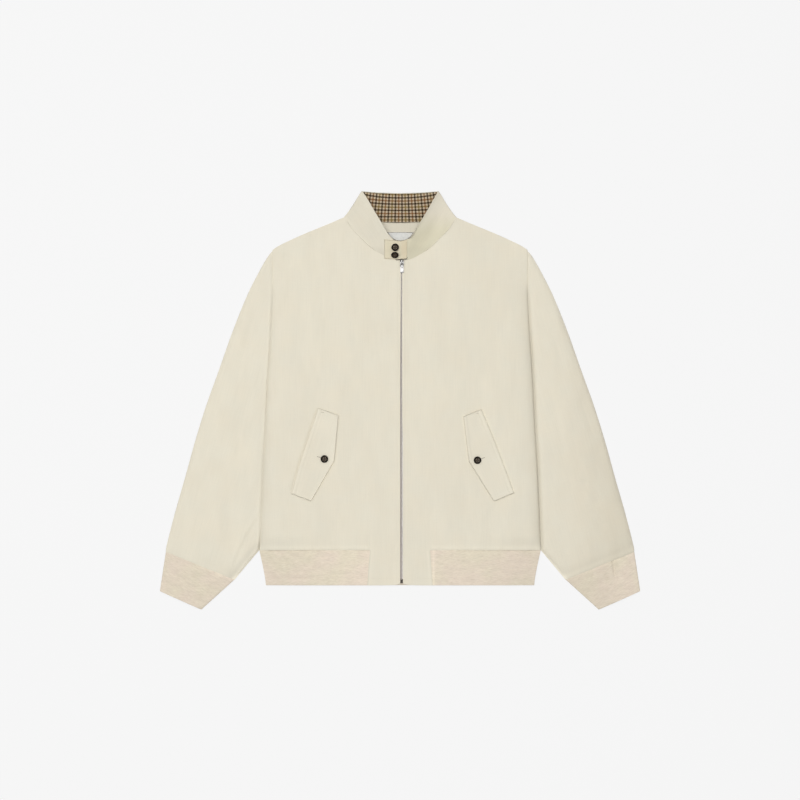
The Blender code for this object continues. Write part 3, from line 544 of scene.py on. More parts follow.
def body_relief(plan):
    """What the fronts, and all that lies on them, stand above their solids."""
    x, y = plan[..., 0], plan[..., 1]
    calm = smoothstep((np.abs(x - ZIP_X) - 12) / 40)  # the cloth lies still beside the zip
    soft = crease_relief(plan, BODY_CREASES)
    soft += 0.55 * soft_noise(plan, (46, 90), 3) + 0.28 * soft_noise(plan, (17, 44), 4)
    above_seam = y - RIB_SEAM_Y
    beside_placket = smoothstep((np.abs(x) - PLACKET_AT_SEAM) / 6)
    drawn = puckers(x, above_seam, HEM_SEED) + seam_dip(above_seam)
    soft += np.where(above_seam > -1, drawn * beside_placket, 0.0)
    return np.maximum(BODY_RELIEF + soft * calm, 0.15) - BODY_RELIEF * (1 - calm)


def side_swell(plan, from_side=None):
    """The body swells beside the sleeves and rolls down to its side edges."""
    x, y = plan[..., 0], plan[..., 1]
    if from_side is None:
        from_side = side_x(y) - np.abs(x)
    width = np.where(x > 0, SIDE_ROLL["left"], SIDE_ROLL["right"])
    height = np.where(x > 0, SIDE_SWELL["left"], SIDE_SWELL["right"])
    roll = quarter_round(from_side, width)
    fade = 1 - smoothstep((from_side - width) / SIDE_SWELL_REACH)
    level = smoothstep((215 - y) / 150) * (0.12 + 0.88 * smoothstep((y - RIB_SEAM_Y) / 30))
    return height * roll * fade * level


def neck_rise(plan):
    """The collar band leans up from the neck seam to its free edge."""
    away = distance_to(as_left(plan), Line([(0, 261), (17, 262), *FRONT_NECKLINE[1:]]))
    to_side = smoothstep((np.abs(plan[..., 0]) - 40) / 52)
    leftward = smoothstep((plan[..., 0] + 25) / 50)
    rise = NECK_RISE["right"] + (NECK_RISE["left"] - NECK_RISE["right"]) * leftward
    return rise * smoothstep(away / NECK_RISE_WIDTH) * (1 - 0.85 * to_side)


# Tones of the cloth: painted shade in folds and creases, painted light on edges and ridges. A row of a
# band gives its middle, half width and tone; a fading row its reach and its tones above and below.

# Painted shade on a front, darkest at its side edge where it lies in the crease beside the sleeve.
SIDE_EDGE_TONE = {
    "left": [(2.0, -0.30, -0.30), (16, -0.045, -0.045)],
    "right": [(2.1, -0.13, -0.10), (16, -0.02, -0.07)],
}
# Painted tones on a front at its flap: in the fold at the seam painted shade on the right and painted light
# on the left; painted light beside the free edge.
FRONT_AT_FLAP = {  # in the fold at the flap's seam, and beside its free edge above and below
    "left": (0.03, 0.12, 0.05),
    "right": (-0.08, 0.05, 0.15),
}
# Painted light on the swell of a front just above the hem seam.
FRONT_ABOVE_HEM = [(5, 4.5, 0.055)]
# Painted light just inside the placket's edge, and painted shadow along the edge where it lies over the rib.
PLACKET_EDGE = {
    "left": [(-4.6, 1.6, 0.06), (0.2, 1.7, -0.12)],
    "right": [(-4.6, 1.6, 0.015), (0.2, 1.7, -0.17)],
}
# Painted shade in the grooves beside the zip, and painted light on the left front's edge.
ZIP_PAINTED_LINES = {  # x and tone of each groove beside the zip, where it starts and how soon it is full
    "left": [(8.0, -0.035, -80, 60), (4.6, 0.10, -20, 50)],
    "right": [(-2.8, -0.02, -80, 60)],
}
# Painted light on the pressed strip beside a flap's seam, and painted shade at its row of stitching.
FLAP_SEAM_TONE = {
    "left": [(4.7, 1.8, 0.035), (7.8, 1.3, -0.015), (10.9, 1.5, 0.01)],
    "right": [(0, 2, -0.02), (4.7, 1.8, 0.035), (7.8, 1.3, -0.03), (10.9, 1.5, 0.01)],
}
# Painted light along a flap's free edge, over the shade of its rim, and on the left flap painted shade just
# inside it.
FLAP_EDGE_TONE = {  # bands all along the free edge, along its upper half, and along its lower half
    "left": ([(2.6, 1.2, 0.02)], [(0, 1.2, 0.13), (5.3, 1.6, -0.08)], []),
    "right": ([(2.8, 1.3, 0.03), (0, 1.1, 0.03)], [], [(0, 1.1, 0.17)]),
}
# Painted tones on a sleeve: shade beside the body's edge with a little light past it, light on its inner
# edge with shade inside that, and light and shade at the cuff seam.
SLEEVE_BESIDE_BODY = {"left": [(0.8, -0.22, -0.22)], "right": [(1.0, -0.10, -0.10)]}
SLEEVE_OFF_BODY = {"left": [], "right": [(3.5, 2.5, 0.03)]}
SLEEVE_INNER_TONE = {"left": [(0, 4.2, 0.20)], "right": [(0, 4.2, 0.36), (10, 6, -0.08)]}
SLEEVE_SEAM_TONE = {"left": [(6, 4, 0.05), (0, 1.8, -0.06)], "right": []}
# Painted shade on the collar fronts near the tab.
COLLAR_AT_TAB = {"left": (292, -0.08), "right": (288, -0.07)}


def bands(distance, rows):
    return sum(tone * band(distance, middle, half_width) for middle, half_width, tone in rows)


def fading(distance, rows, low=0.0):
    return sum((above + (below - above) * low) * np.exp(-distance / reach) for reach, above, below in rows)


# A random uneven tone that paints the soft shade of small ripples in the cloth.
def uneven_tone(plan):
    return 1 + 0.016 * soft_noise(plan, (22, 60), 81) + 0.010 * soft_noise(plan, (9, 26), 82)


def below_flap_corner(along):
    return smoothstep((along - 76) / 12)


def beside_sleeve(y):
    """Where body and sleeve lie side by side: from below the shoulder to the hem rib."""
    return smoothstep((228 - y) / 40) * smoothstep((y - RIB_SEAM_Y + 2) / 4)


def from_free_edge(side, along, across):
    return distance_to(np.stack([along, across], -1), Line(FLAP_FREE_EDGE[side], smooth=False))


def front_at_flap(side, plan):
    along, across = from_flap(side, plan)
    in_fold, above, below = FRONT_AT_FLAP[side]
    on_seam = smoothstep((along + 2) / 8) * smoothstep((FLAP_LENGTH + 2 - along) / 8)
    fold = in_fold * band(across - flap_seam_line(side, along), 0, 2.4) * on_seam
    free = from_free_edge(side, along, across)
    return fold + (above + (below - above) * below_flap_corner(along)) * band(free, 0, 1.6)


def front_tone(side, plan):
    x, y = np.abs(plan[..., 0]), plan[..., 1]
    low = smoothstep((40 - y) / 160)
    tone = uneven_tone(plan) + front_at_flap(side, plan)
    tone += fading(np.maximum(side_x(y) - x, 0), SIDE_EDGE_TONE[side], low) * beside_sleeve(y)
    tone += bands(y - RIB_SEAM_Y, FRONT_ABOVE_HEM) * smoothstep((x - PLACKET_AT_SEAM) / 6)
    down = (RIB_SEAM_Y - y) / (RIB_SEAM_Y - HEM_Y)
    placket_x = PLACKET_AT_SEAM + (PLACKET_AT_HEM - PLACKET_AT_SEAM) * down
    tone += bands(x - placket_x, PLACKET_EDGE[side]) * smoothstep((RIB_SEAM_Y + 2 - y) / 5)
    for painted_line_x, depth, start, length in ZIP_PAINTED_LINES[side]:
        tone += depth * band(plan[..., 0], painted_line_x, 1.3) * smoothstep((y - start) / length)
    # Painted shade along the left front's neck seam, under the collar.
    if side == "left":
        below = distance_to(as_left(plan), Line(neck_seam(side)))
        tone -= 0.07 * np.exp(-below / 5) * smoothstep((y - 300) / 16)
    return tone


def flap_tone(side, plan):
    along, across = from_flap(side, plan)
    low = below_flap_corner(along)
    free = from_free_edge(side, along, across)
    everywhere, upper, lower = (bands(free, rows) for rows in FLAP_EDGE_TONE[side])
    seam = bands(across - flap_seam_line(side, along), FLAP_SEAM_TONE[side])
    return uneven_tone(plan) + seam + everywhere + upper * (1 - low) + lower * low


def sleeve_tone(side, plan):
    x, y = np.abs(plan[..., 0]), plan[..., 1]
    off_body = np.maximum(x - side_x(y), 0)
    body_edge = fading(off_body, SLEEVE_BESIDE_BODY[side]) + bands(off_body, SLEEVE_OFF_BODY[side])
    inner = distance_to(as_left(plan), Line([SIDE_LINE[0], CUFF_SEAM_INNER]))
    seam = distance_to(as_left(plan), Line(CUFF_SEAM))
    ends = bands(inner, SLEEVE_INNER_TONE[side]) + bands(seam, SLEEVE_SEAM_TONE[side])
    return uneven_tone(plan) + body_edge * beside_sleeve(y) + ends


def cuff_tone(side, plan):
    x, y = np.abs(plan[..., 0]), plan[..., 1]
    seam = distance_to(as_left(plan), Line(CUFF_SEAM))
    if side == "right":
        return 0.965 + 0.09 * band(seam, 0, 3.5) * smoothstep((-300 - y) / 20)
    return 0.95 + 0.02 * band(seam, 0, 3) + 0.05 * smoothstep((x - 375) / 45)


def collar_tone(side, plan):
    y = plan[..., 1]
    seam = distance_to(as_left(plan), Line(neck_seam(side)))
    tab_y, at_tab = COLLAR_AT_TAB[side]
    tone = uneven_tone(plan) + at_tab * smoothstep((tab_y - y) / 16)
    # Right collar: painted light along the neck seam. Left collar: painted shade inside the band near its
    # opening, a little painted light at the seam.
    if side == "right":
        return tone + 0.085 * band(seam, 0, 2.2) * smoothstep((y - 278) / 12)
    opening = distance_to(as_left(plan), Line(COLLAR_EDGE[side][2:]))
    low = 1 - smoothstep((y - 325) / 40)
    return tone - (0.10 + 0.10 * low) * np.exp(-opening / 7) + 0.03 * np.exp(-seam / 3)


def rib_tone(side, plan):
    from_placket = np.maximum(np.abs(plan[..., 0]) - PLACKET_AT_SEAM - 2, 0)
    far = -0.045 * smoothstep((from_placket - 70) / 100)
    near = 0.055 * np.exp(-from_placket / 45) if side == "right" else 0.12 * band(from_placket, 4, 2.8)
    return 1 + near + far


# Meshes of cloth

CLOTH = []
TRIM = []  # the other pieces
RIB_ROWS = []  # paths of the stitching on the hem ribs


def collection(name):
    found = bpy.data.collections.new(name)
    bpy.context.scene.collection.children.link(found)
    return found


def grid(shape):
    """Point numbers of a grid, row by row."""
    return np.arange(math.prod(shape)).reshape(shape)


def quads(index, closed=False):
    """Faces between the points of a grid of point numbers, facing up where rows run up."""
    after = np.roll(index, -1, axis=1) if closed else index[:, 1:]
    before = index if closed else index[:, :-1]
    return np.stack([before[:-1], after[:-1], after[1:], before[1:]], -1).reshape(-1, 4)


def make_mesh(name, points, faces, grain, grain_lean=0.0, tone=None):
    """Mesh from points in millimetres, with a UV map in metres whose V runs along the grain.

    Its attribute tone multiplies the cloth's colour: painted shade darkens folds, painted light brightens
    edges and ridges.
    """
    mesh = bpy.data.meshes.new(name)
    mesh.from_pydata((points * MM).tolist(), [], faces.tolist())
    lean = math.radians(grain_lean)
    turned = np.stack(
        [
            grain @ np.array([math.cos(lean), math.sin(lean)]),
            grain @ np.array([-math.sin(lean), math.cos(lean)]),
        ],
        -1,
    )
    corners = np.empty(len(mesh.loops), int)
    mesh.loops.foreach_get("vertex_index", corners)
    layer = mesh.uv_layers.new(name="grain")
    layer.data.foreach_set("uv", (turned[corners] * MM).astype(np.float32).ravel())
    tones = tone(points[:, :2]) if tone else np.ones(len(points))
    attribute = mesh.attributes.new("tone", "FLOAT", "POINT")
    attribute.data.foreach_set("value", tones.astype(np.float32))
    mesh.shade_smooth()
    return mesh


def show(name, mesh, body="jacket"):
    obj = bpy.data.objects.new(name, mesh)
    JACKET.objects.link(obj)
    obj["body"] = body
    return obj


def place(name, mesh, material):
    mesh.materials.clear()
    mesh.materials.append(material)
    return show(name, mesh)


def welded(name, meshes, merge=0.0, outwards=True):
    """One mesh from several, with doubles within this distance merged and its faces turned out."""
    bm = bmesh.new()
    for mesh in meshes:
        bm.from_mesh(mesh)
    if merge:
        bmesh.ops.remove_doubles(bm, verts=bm.verts, dist=merge)
    if outwards:
        bmesh.ops.recalc_face_normals(bm, faces=bm.faces)
    return from_bmesh(name, bm)


def from_bmesh(name, bm):
    mesh = bpy.data.meshes.new(name)
    bm.to_mesh(mesh)
    bm.free()
    return mesh


def settle(obj):
    """Turns what the modifiers give into the object's own plain mesh."""
    bpy.context.view_layer.update()
    graph = bpy.context.evaluated_depsgraph_get()
    mesh = bpy.data.meshes.new_from_object(obj.evaluated_get(graph))
    obj.modifiers.clear()
    obj.data = mesh
    return obj


def thicken(obj, wall, rounding=0.42):
    """Gives an open sheet its wall below its top, with rounded edges."""
    solidify = obj.modifiers.new("wall", "SOLIDIFY")
    solidify.thickness = wall * MM
    solidify.offset = -1.0
    solidify.use_even_offset = False
    bevel = obj.modifiers.new("rounded edge", "BEVEL")
    bevel.width = rounding * wall * MM
    bevel.segments = 2
    bevel.limit_method = "ANGLE"
    bevel.angle_limit = math.radians(55)
    bevel.use_clamp_overlap = False
    return settle(obj)


def sheet_piece(node, plan, heights, wall, material, rests_on, slot="shell", ending="cloth",
                lean=0.0, grain=None, tone=None, flipped=False):
    """Cloth that stands for a node, over a grid whose heights are its top.

    The plan's rows run up and its columns towards +X, or the other way where it is flipped.
    """
    name = f"{node}_{ending}"
    points = np.concatenate([plan, heights[..., None]], -1).reshape(-1, 3)
    faces = quads(grid(heights.shape))
    if flipped:
        faces = faces[:, ::-1]
    grain = plan if grain is None else grain
    mesh = make_mesh(name, points, faces, grain.reshape(-1, 2), lean, tone)
    declare(thicken(place(name, mesh, material), wall), node, slot, plan, faces, rests_on)


def side_sheet(node, side, own, heights, wall, material, rests_on, **more):
    """A sheet of either side, from the plan of the left one."""
    plan, heights = on_side(side, own), for_side(side, heights)
    sheet_piece(f"{node}_{side}", plan, heights, wall, material, rests_on, **more)


def tube_piece(node, side, own, tops, bottoms, wall, material, slot, ending, lean, tone):
    """Flattened tube with round lips at both ends; each plan row is a flattened ring across it."""
    name = f"{node}_{side}_{ending}"
    plan, tops, bottoms = on_side(side, own), for_side(side, tops), for_side(side, bottoms)

    def rings_of(across, above, below):
        upper = np.concatenate([across, above[..., None]], -1)
        lower = np.concatenate([across, below[..., None]], -1)[:, -2:0:-1]
        return np.concatenate([upper, lower], 1)

    middle = (plan[:, :1] + plan[:, -1:]) / 2
    half = np.linalg.norm(plan[:, :1] - middle, axis=-1, keepdims=True)
    inner_tops, inner_bottoms = tops - wall, bottoms + wall
    centre = (tops + bottoms) / 2
    inner_tops = np.maximum(inner_tops, centre + 0.05)
    inner_bottoms = np.minimum(inner_bottoms, centre - 0.05)
    outer = rings_of(plan, tops, bottoms)
    inner = rings_of(middle + (plan - middle) * (1 - wall / half), inner_tops, inner_bottoms)

    def lip(row, neighbour):
        ahead = plan[row].mean(0) - plan[neighbour].mean(0)
        ahead = np.append(ahead / np.linalg.norm(ahead), 0.0)
        between, apart = (outer[row] + inner[row]) / 2, (outer[row] - inner[row]) / 2
        rounds = []
        for turn in (math.pi / 4, math.pi / 2, 3 * math.pi / 4):
            out = ahead * min(wall / 2, 0.9) * math.sin(turn)
            rounds.append(between + apart * math.cos(turn) + out)
        return np.stack(rounds)

    rings = np.concatenate([outer, lip(-1, -2), inner[::-1], lip(0, 1)[::-1]])
    points = rings.reshape(-1, 3)
    index = grid(rings.shape[:2])
    faces = quads(np.vstack([index, index[:1]]), closed=True)
    mesh = make_mesh(name, points, faces, points[:, :2], SIGN[side] * lean, partial(tone, side))
    piece = place(name, welded(name, [mesh]), material)
    flat_faces = quads(grid(tops.shape))
    declare(piece, f"{node}_{side}", slot, plan, flat_faces, ["floor"], tube=True)


def declare(piece, node, slot, plan, faces, rests_on, tube=False):
    """Lists a cloth piece, to be attached to the jacket, with the flat size and area of what shows of it."""
    points = plan.reshape(-1, 2)
    corners = points[faces]
    one, two = corners[:, 2] - corners[:, 0], corners[:, 3] - corners[:, 1]
    area = np.abs(one[:, 0] * two[:, 1] - one[:, 1] * two[:, 0]).sum() / 2
    width, length = points.max(0) - points.min(0)
    if tube:
        length = area / width if area / width > length else length
        width, area = 2 * width, 2 * area
    flat = (float(width) * MM, float(length) * MM)
    area = min(float(area) * MM * MM, flat[0] * flat[1])
    CLOTH.append((piece, [node], slot, flat, area, rests_on))


def on_side(side, plan):
    """The plan of a left piece, or its mirror image with its columns still towards +X."""
    if side == "left":
        return plan
    return (plan * np.array([-1.0, 1.0]))[:, ::-1]


def for_side(side, values):
    return values if side == "left" else values[:, ::-1]


def both_halves(own):
    """The plan of a piece that lies across the middle line, from its left half."""
    return np.concatenate([on_side("right", own)[:, :-1], own], 1)


# Materials


class Finish:
    """A material in the making: nodes are added by kind and wired by socket."""

    def __init__(self, name, colour, roughness, metallic=0.0, **more):
        self.material = bpy.data.materials.new(name)
        self.material.use_nodes = True
        self.tree = self.material.node_tree
        self.shader = self.tree.nodes["Principled BSDF"]
        self.set(self.shader, "Base Color", (*colour, 1.0))
        self.set(self.shader, "Roughness", roughness)
        self.set(self.shader, "Metallic", metallic)
        for socket, value in more.items():
            self.set(self.shader, socket.replace("_", " ").title().replace("Ior", "IOR"), value)

    def set(self, node, socket, value):
        if isinstance(value, bpy.types.NodeSocket):
            self.tree.links.new(value, node.inputs[socket])
        else:
            node.inputs[socket].default_value = value

    def node(self, kind, output=0, settings=None, **inputs):
        made = self.tree.nodes.new("ShaderNode" + kind)
        for key, value in (settings or {}).items():
            setattr(made, key, value)
        for socket, value in inputs.items():  # i0, i1 and i2 are sockets by number
            numbered = socket[0] == "i" and socket[1:].isdigit()
            self.set(made, int(socket[1:]) if numbered else socket, value)
        return made.outputs[output]

    def grain(self):
        return self.node("UVMap", settings={"uv_map": "grain"})

    def solid(self):
        return self.node("TexCoord", output="Object")

    def stretched(self, coordinates, scale, turn=0.0):
        return self.node("Mapping", Vector=coordinates, Scale=scale, Rotation=(0, 0, math.radians(turn)))

    def noise(self, coordinates, size, detail=2.0, roughness=0.5):
        """Unevenness of about 0 to 1 with bumps of this size in metres."""
        return self.node("TexNoise", Vector=coordinates, Scale=1 / size, Detail=detail, Roughness=roughness)

    def toned(self, colour):
        tone = self.node("Attribute", output="Fac", settings={"attribute_name": "tone"})
        return self.mix(1.0, colour, tone, "MULTIPLY")

    def math(self, operation, first, second=0.0, third=0.0):
        return self.node("Math", settings={"operation": operation}, i0=first, i1=second, i2=third)

    def add(self, first, second):
        return self.math("ADD", first, second)

    def times(self, first, second):
        return self.math("MULTIPLY", first, second)

    def parts(self, coordinates):
        made = self.tree.nodes.new("ShaderNodeSeparateXYZ")
        self.tree.links.new(coordinates, made.inputs[0])
        return made.outputs

    def ramp(self, value, stops, constant=False):
        made = self.tree.nodes.new("ShaderNodeValToRGB")
        made.color_ramp.interpolation = "CONSTANT" if constant else "LINEAR"
        while len(made.color_ramp.elements) < len(stops):
            made.color_ramp.elements.new(0.5)
        for element, (position, colour) in zip(made.color_ramp.elements, stops):
            element.position = position
            element.color = (*colour, 1.0)
        self.tree.links.new(value, made.inputs[0])
        return made.outputs[0]

    def mix(self, share, first, second, blend="MIX"):
        made = self.tree.nodes.new("ShaderNodeMix")
        made.data_type = "RGBA"
        made.blend_type = blend
        for socket, value in ((0, share), (6, first), (7, second)):
            if isinstance(value, tuple):
                value = (*value, 1.0)
            self.set(made, socket, value)
        return made.outputs[2]

    def colour(self, value):
        self.set(self.shader, "Base Color", value)

    def bump(self, height, depth, strength=1.0):
        """Relief of this depth in metres on top of the mesh."""
        bumped = self.node("Bump", Height=height, Distance=depth, Strength=strength)
        self.set(self.shader, "Normal", bumped)

    def wave(self, value, pitch):
        """0 to 1 and back over each pitch in metres."""
        turns = self.times(value, 2 * math.pi / pitch)
        return self.math("MULTIPLY_ADD", self.math("SINE", turns), 0.5, 0.5)


def scaled(colour, factor):
    return tuple(channel * factor for channel in colour)


SHELL_COLOUR = (0.765, 0.716, 0.590)
RIB_COLOUR = (0.783, 0.705, 0.590)
THREAD_COLOUR = (0.72, 0.67, 0.54)


def shell_cloth(name="shell_cloth", colour=SHELL_COLOUR, painted_shade_axis=None):
    """Cotton twill with slubs along the warp and a soft pressed look."""
    cloth = Finish(name, colour, 0.82, sheen_weight=0.12, sheen_roughness=0.5, specular_ior_level=0.3)
    grain = cloth.grain()
    slubs = cloth.noise(cloth.stretched(grain, (1.0, 0.045, 1.0)), 0.0022, 3.0, 0.6)
    weft = cloth.noise(cloth.stretched(grain, (0.06, 1.0, 1.0)), 0.0016, 2.0)
    clouds = cloth.noise(grain, 0.05, 3.0, 0.55)
    shade = cloth.add(cloth.times(slubs, 0.7), cloth.times(weft, 0.3))
    streaked = cloth.ramp(shade, [(0.3, scaled(colour, 0.96)), (0.5, colour), (0.7, scaled(colour, 1.03))])
    cooler = (colour[0] * 0.985, colour[1] * 1.0, colour[2] * 1.01)
    warmer = (colour[0] * 1.015, colour[1] * 0.99, colour[2] * 0.96)
    cast = cloth.ramp(clouds, [(0.35, cooler), (0.65, warmer)])
    dyed = cloth.mix(0.35, streaked, cast)
    # Painted shade: the cloth is darkened along an axis of the garment by these tones.
    if painted_shade_axis:  # an axis of the garment and the tones along it, in metres
        axis, stops = painted_shade_axis
        dyed = cloth.mix(1.0, dyed, cloth.ramp(cloth.parts(cloth.solid())[axis], stops), "MULTIPLY")
    cloth.colour(cloth.toned(dyed))
    across, along, _ = cloth.parts(grain)
    diagonal = cloth.wave(cloth.add(across, along), 0.0011)
    threads = cloth.wave(cloth.math("SUBTRACT", across, cloth.times(along, 0.35)), 0.00052)
    weave = cloth.add(cloth.times(diagonal, 0.6), cloth.times(threads, 0.4))
    height = cloth.add(weave, cloth.times(slubs, 1.2))
    cloth.bump(height, 0.00007, 0.6)
    return cloth.material


def rib_knit():
    """Melange rib: ribs come from the mesh, so this holds the flecks and the knitted loops."""
    nap = {"sheen_weight": 0.2, "sheen_roughness": 0.6}
    knit = Finish("rib_knit", RIB_COLOUR, 0.92, specular_ior_level=0.25, **nap)
    grain = knit.grain()
    flecks = knit.noise(knit.stretched(grain, (0.16, 1.0, 1.0)), 0.0013, 3.0, 0.65)
    broad = knit.noise(knit.stretched(grain, (0.35, 1.0, 1.0)), 0.007, 2.0)
    melange = knit.ramp(
        flecks,
        [
            (0.28, (0.67, 0.59, 0.485)),
            (0.42, (0.74, 0.66, 0.545)),
            (0.55, RIB_COLOUR),
            (0.72, (0.83, 0.76, 0.65)),
        ],
    )
    clouds = knit.ramp(broad, [(0.3, (0.95, 0.94, 0.93)), (0.7, (1.04, 1.03, 1.02))])
    cast = knit.ramp(
        knit.noise(knit.solid(), 0.045, 2.0), [(0.35, (1.01, 0.985, 0.985)), (0.65, (0.985, 1.0, 0.955))]
    )
    tinted = knit.mix(1.0, melange, clouds, "MULTIPLY")
    knit.colour(knit.toned(knit.mix(1.0, tinted, cast, "MULTIPLY")))
    across, along, _ = knit.parts(grain)
    slope = knit.math("ABSOLUTE", knit.math("SINE", knit.times(across, 2 * math.pi / 0.0024)))
    loops = knit.wave(knit.add(along, knit.times(slope, 0.0006)), 0.0013)
    knit.bump(knit.add(loops, flecks), 0.00014, 0.6)
    return knit.material


CHECK_REPEAT = 0.0232  # two dark stripes a repeat, 11.6 mm apart
CHECK_STRIPES = [
    (0.0, (0.030, 0.018, 0.008)),
    (0.125, (0.53, 0.425, 0.30)),
    (0.25, (0.20, 0.095, 0.035)),
    (0.37, (0.55, 0.445, 0.315)),
    (0.5, (0.032, 0.018, 0.009)),
    (0.625, (0.54, 0.435, 0.305)),
    (0.75, (0.19, 0.13, 0.04)),
    (0.87, (0.53, 0.43, 0.30)),
]
CHECK_THREAD = 0.00048
CHECK_DEPTH = 0.55  # how much the darker of two crossing threads shows


def check_lining():
    """Woven check: the same stripes in warp and weft, crossed as a 2/2 twill."""
    lining = Finish("check_lining", (0.4, 0.3, 0.2), 0.9, specular_ior_level=0.15)
    grain = lining.grain()
    across, along, _ = lining.parts(grain)
    stripes = []
    for value, shift in ((across, 0.0072), (along, 0.0079)):
        turn = lining.math("DIVIDE", lining.add(value, 1 + shift), CHECK_REPEAT)
        stripes.append(lining.ramp(lining.math("FRACT", turn), CHECK_STRIPES, constant=True))
    crossing = lining.math("DIVIDE", lining.add(across, along), 4 * CHECK_THREAD)
    warp_up = lining.math("GREATER_THAN", lining.math("FRACT", lining.add(crossing, 100.0)), 0.5)
    woven = lining.mix(warp_up, stripes[0], stripes[1])
    darker = lining.mix(1.0, stripes[0], stripes[1], "DARKEN")
    woven = lining.mix(CHECK_DEPTH, woven, darker)
    fuzz = lining.ramp(lining.noise(grain, 0.0006), [(0.3, (0.85, 0.85, 0.85)), (0.7, (1.1, 1.1, 1.1))])
    lining.colour(lining.mix(1.0, woven, fuzz, "MULTIPLY"))
    lining.bump(lining.wave(lining.add(across, along), 4 * CHECK_THREAD), 0.00008, 0.7)
    return lining.material


def label_satin():
    satin = Finish("label_satin", (0.80, 0.80, 0.775), 0.5, sheen_weight=0.1)
    grain = satin.grain()
    ribs = satin.wave(satin.parts(grain)[1], 0.0006)
    wear = satin.noise(grain, 0.004, 3.0)
    # Its colours are set darker than the white satin's own: painted shade inside the collar.
    satin.colour(satin.ramp(wear, [(0.3, (0.615, 0.615, 0.59)), (0.7, (0.70, 0.70, 0.665))]))
    satin.bump(ribs, 0.00004, 0.5)
    return satin.material


def zip_tape_cloth():
    """Herringbone tape."""
    tape = Finish("zip_tape_cloth", (0.70, 0.64, 0.56), 0.85)
    grain = tape.grain()
    across, along, _ = tape.parts(grain)
    zigzag = tape.math("PINGPONG", across, 0.0015)
    bones = tape.wave(tape.add(along, zigzag), 0.0009)
    # The cord under the chain is painted darker on the side that lies under the front's edge: painted shade.
    light = tape.ramp(bones, [(0.2, (0.70, 0.65, 0.58)), (0.8, (0.82, 0.77, 0.69))])
    dark = tape.ramp(bones, [(0.2, (0.52, 0.45, 0.42)), (0.8, (0.63, 0.55, 0.51))])
    out_of_shade = tape.math("MULTIPLY_ADD", across, 1000.0, -2.9)
    out_of_shade = tape.node("Clamp", Value=out_of_shade)
    tape.colour(tape.mix(out_of_shade, dark, light))
    tape.bump(bones, 0.0001, 0.7)
    return tape.material


def metal(name, colour, roughness, shadow_below_y=None, shade_above_y=None):
    nickel = Finish(name, colour, roughness, metallic=1.0)
    place_on = nickel.solid()
    wear = nickel.noise(nickel.stretched(place_on, (1.0, 0.2, 1.0)), 0.0003, 3.0)
    uneven_tone = nickel.ramp(wear, [(0.3, scaled(colour, 0.9)), (0.7, scaled(colour, 1.06))])
    if shadow_below_y:  # painted shadow below here, and painted shade above the arms' end
        white = (1.0, 1.0, 1.0)
        stops = [(shadow_below_y, scaled((1.0, 0.9, 0.85), 0.07)), (shadow_below_y + 0.0006, white)]
        if shade_above_y:
            stops += [(shade_above_y, white), (shade_above_y + 0.0006, scaled((0.95, 1.0, 0.93), 0.25))]
        painted_shade_ramp = nickel.ramp(nickel.parts(place_on)[1], stops)
        uneven_tone = nickel.mix(1.0, uneven_tone, painted_shade_ramp, "MULTIPLY")
    nickel.colour(uneven_tone)
    blotches = nickel.noise(place_on, 0.003, 3.0)
    rough = nickel.math("MULTIPLY_ADD", blotches, 0.25, roughness - 0.1)
    nickel.set(nickel.shader, "Roughness", rough)
    nickel.bump(wear, 0.00001, 0.4)
    return nickel.material


def horn():
    """Near-black brown button with faint swirls."""
    plastic = Finish("button_horn", (0.02, 0.014, 0.01), 0.5, specular_ior_level=0.15)
    place_on = plastic.solid()
    out = plastic.node("VectorMath", output=1, settings={"operation": "LENGTH"}, i0=plastic.grain())
    dark = (0.010, 0.007, 0.004)
    rim, middle = (0.066, 0.049, 0.032), (0.046, 0.034, 0.022)
    stops = [(0.0, middle), (0.2, rim), (0.37, rim), (0.44, dark)]
    rings = plastic.ramp(plastic.times(out, 100.0), stops)
    swirl = plastic.noise(plastic.stretched(place_on, (1.0, 2.2, 1.0), 30), 0.004, 4.0, 0.6)
    swirls = plastic.ramp(swirl, [(0.35, (0.7, 0.7, 0.7)), (0.6, (1.1, 1.05, 1.0)), (0.75, (1.9, 1.7, 1.5))])
    plastic.colour(plastic.mix(1.0, rings, swirls, "MULTIPLY"))
    plastic.bump(swirl, 0.00002, 0.3)
    return plastic.material


def thread(name, colour):
    """Sewing thread: twisted plies across its length."""
    yarn = Finish(name, colour, 0.7, sheen_weight=0.2)
    x, y, z = yarn.parts(yarn.solid())
    twist = yarn.wave(yarn.add(yarn.add(x, y), z), 0.0004)
    yarn.colour(yarn.ramp(twist, [(0.0, scaled(colour, 0.86)), (1.0, scaled(colour, 1.08))]))
    yarn.bump(twist, 0.00005, 0.5)
    return yarn.material


def floor_paper():
    glow = {"emission_color": (1.0, 1.0, 1.0, 1.0), "emission_strength": FLOOR_GLOW}
    return Finish("floor_paper", (0.12, 0.12, 0.12), 0.95, specular_ior_level=0.1, **glow).material


# Body pieces


def zip_edge_x(side):
    """Distance of a front's zip edge from the middle line, on its own side."""
    return ZIP_OPENING / 2 + SIGN[side] * ZIP_X


def neck_seam(side):
    """The left front's neck seam lies a little lower than the right one's."""
    return [*moved(FRONT_NECKLINE[:-1], *NECK_SEAM_SHIFT[side]), FRONT_NECKLINE[-1]]


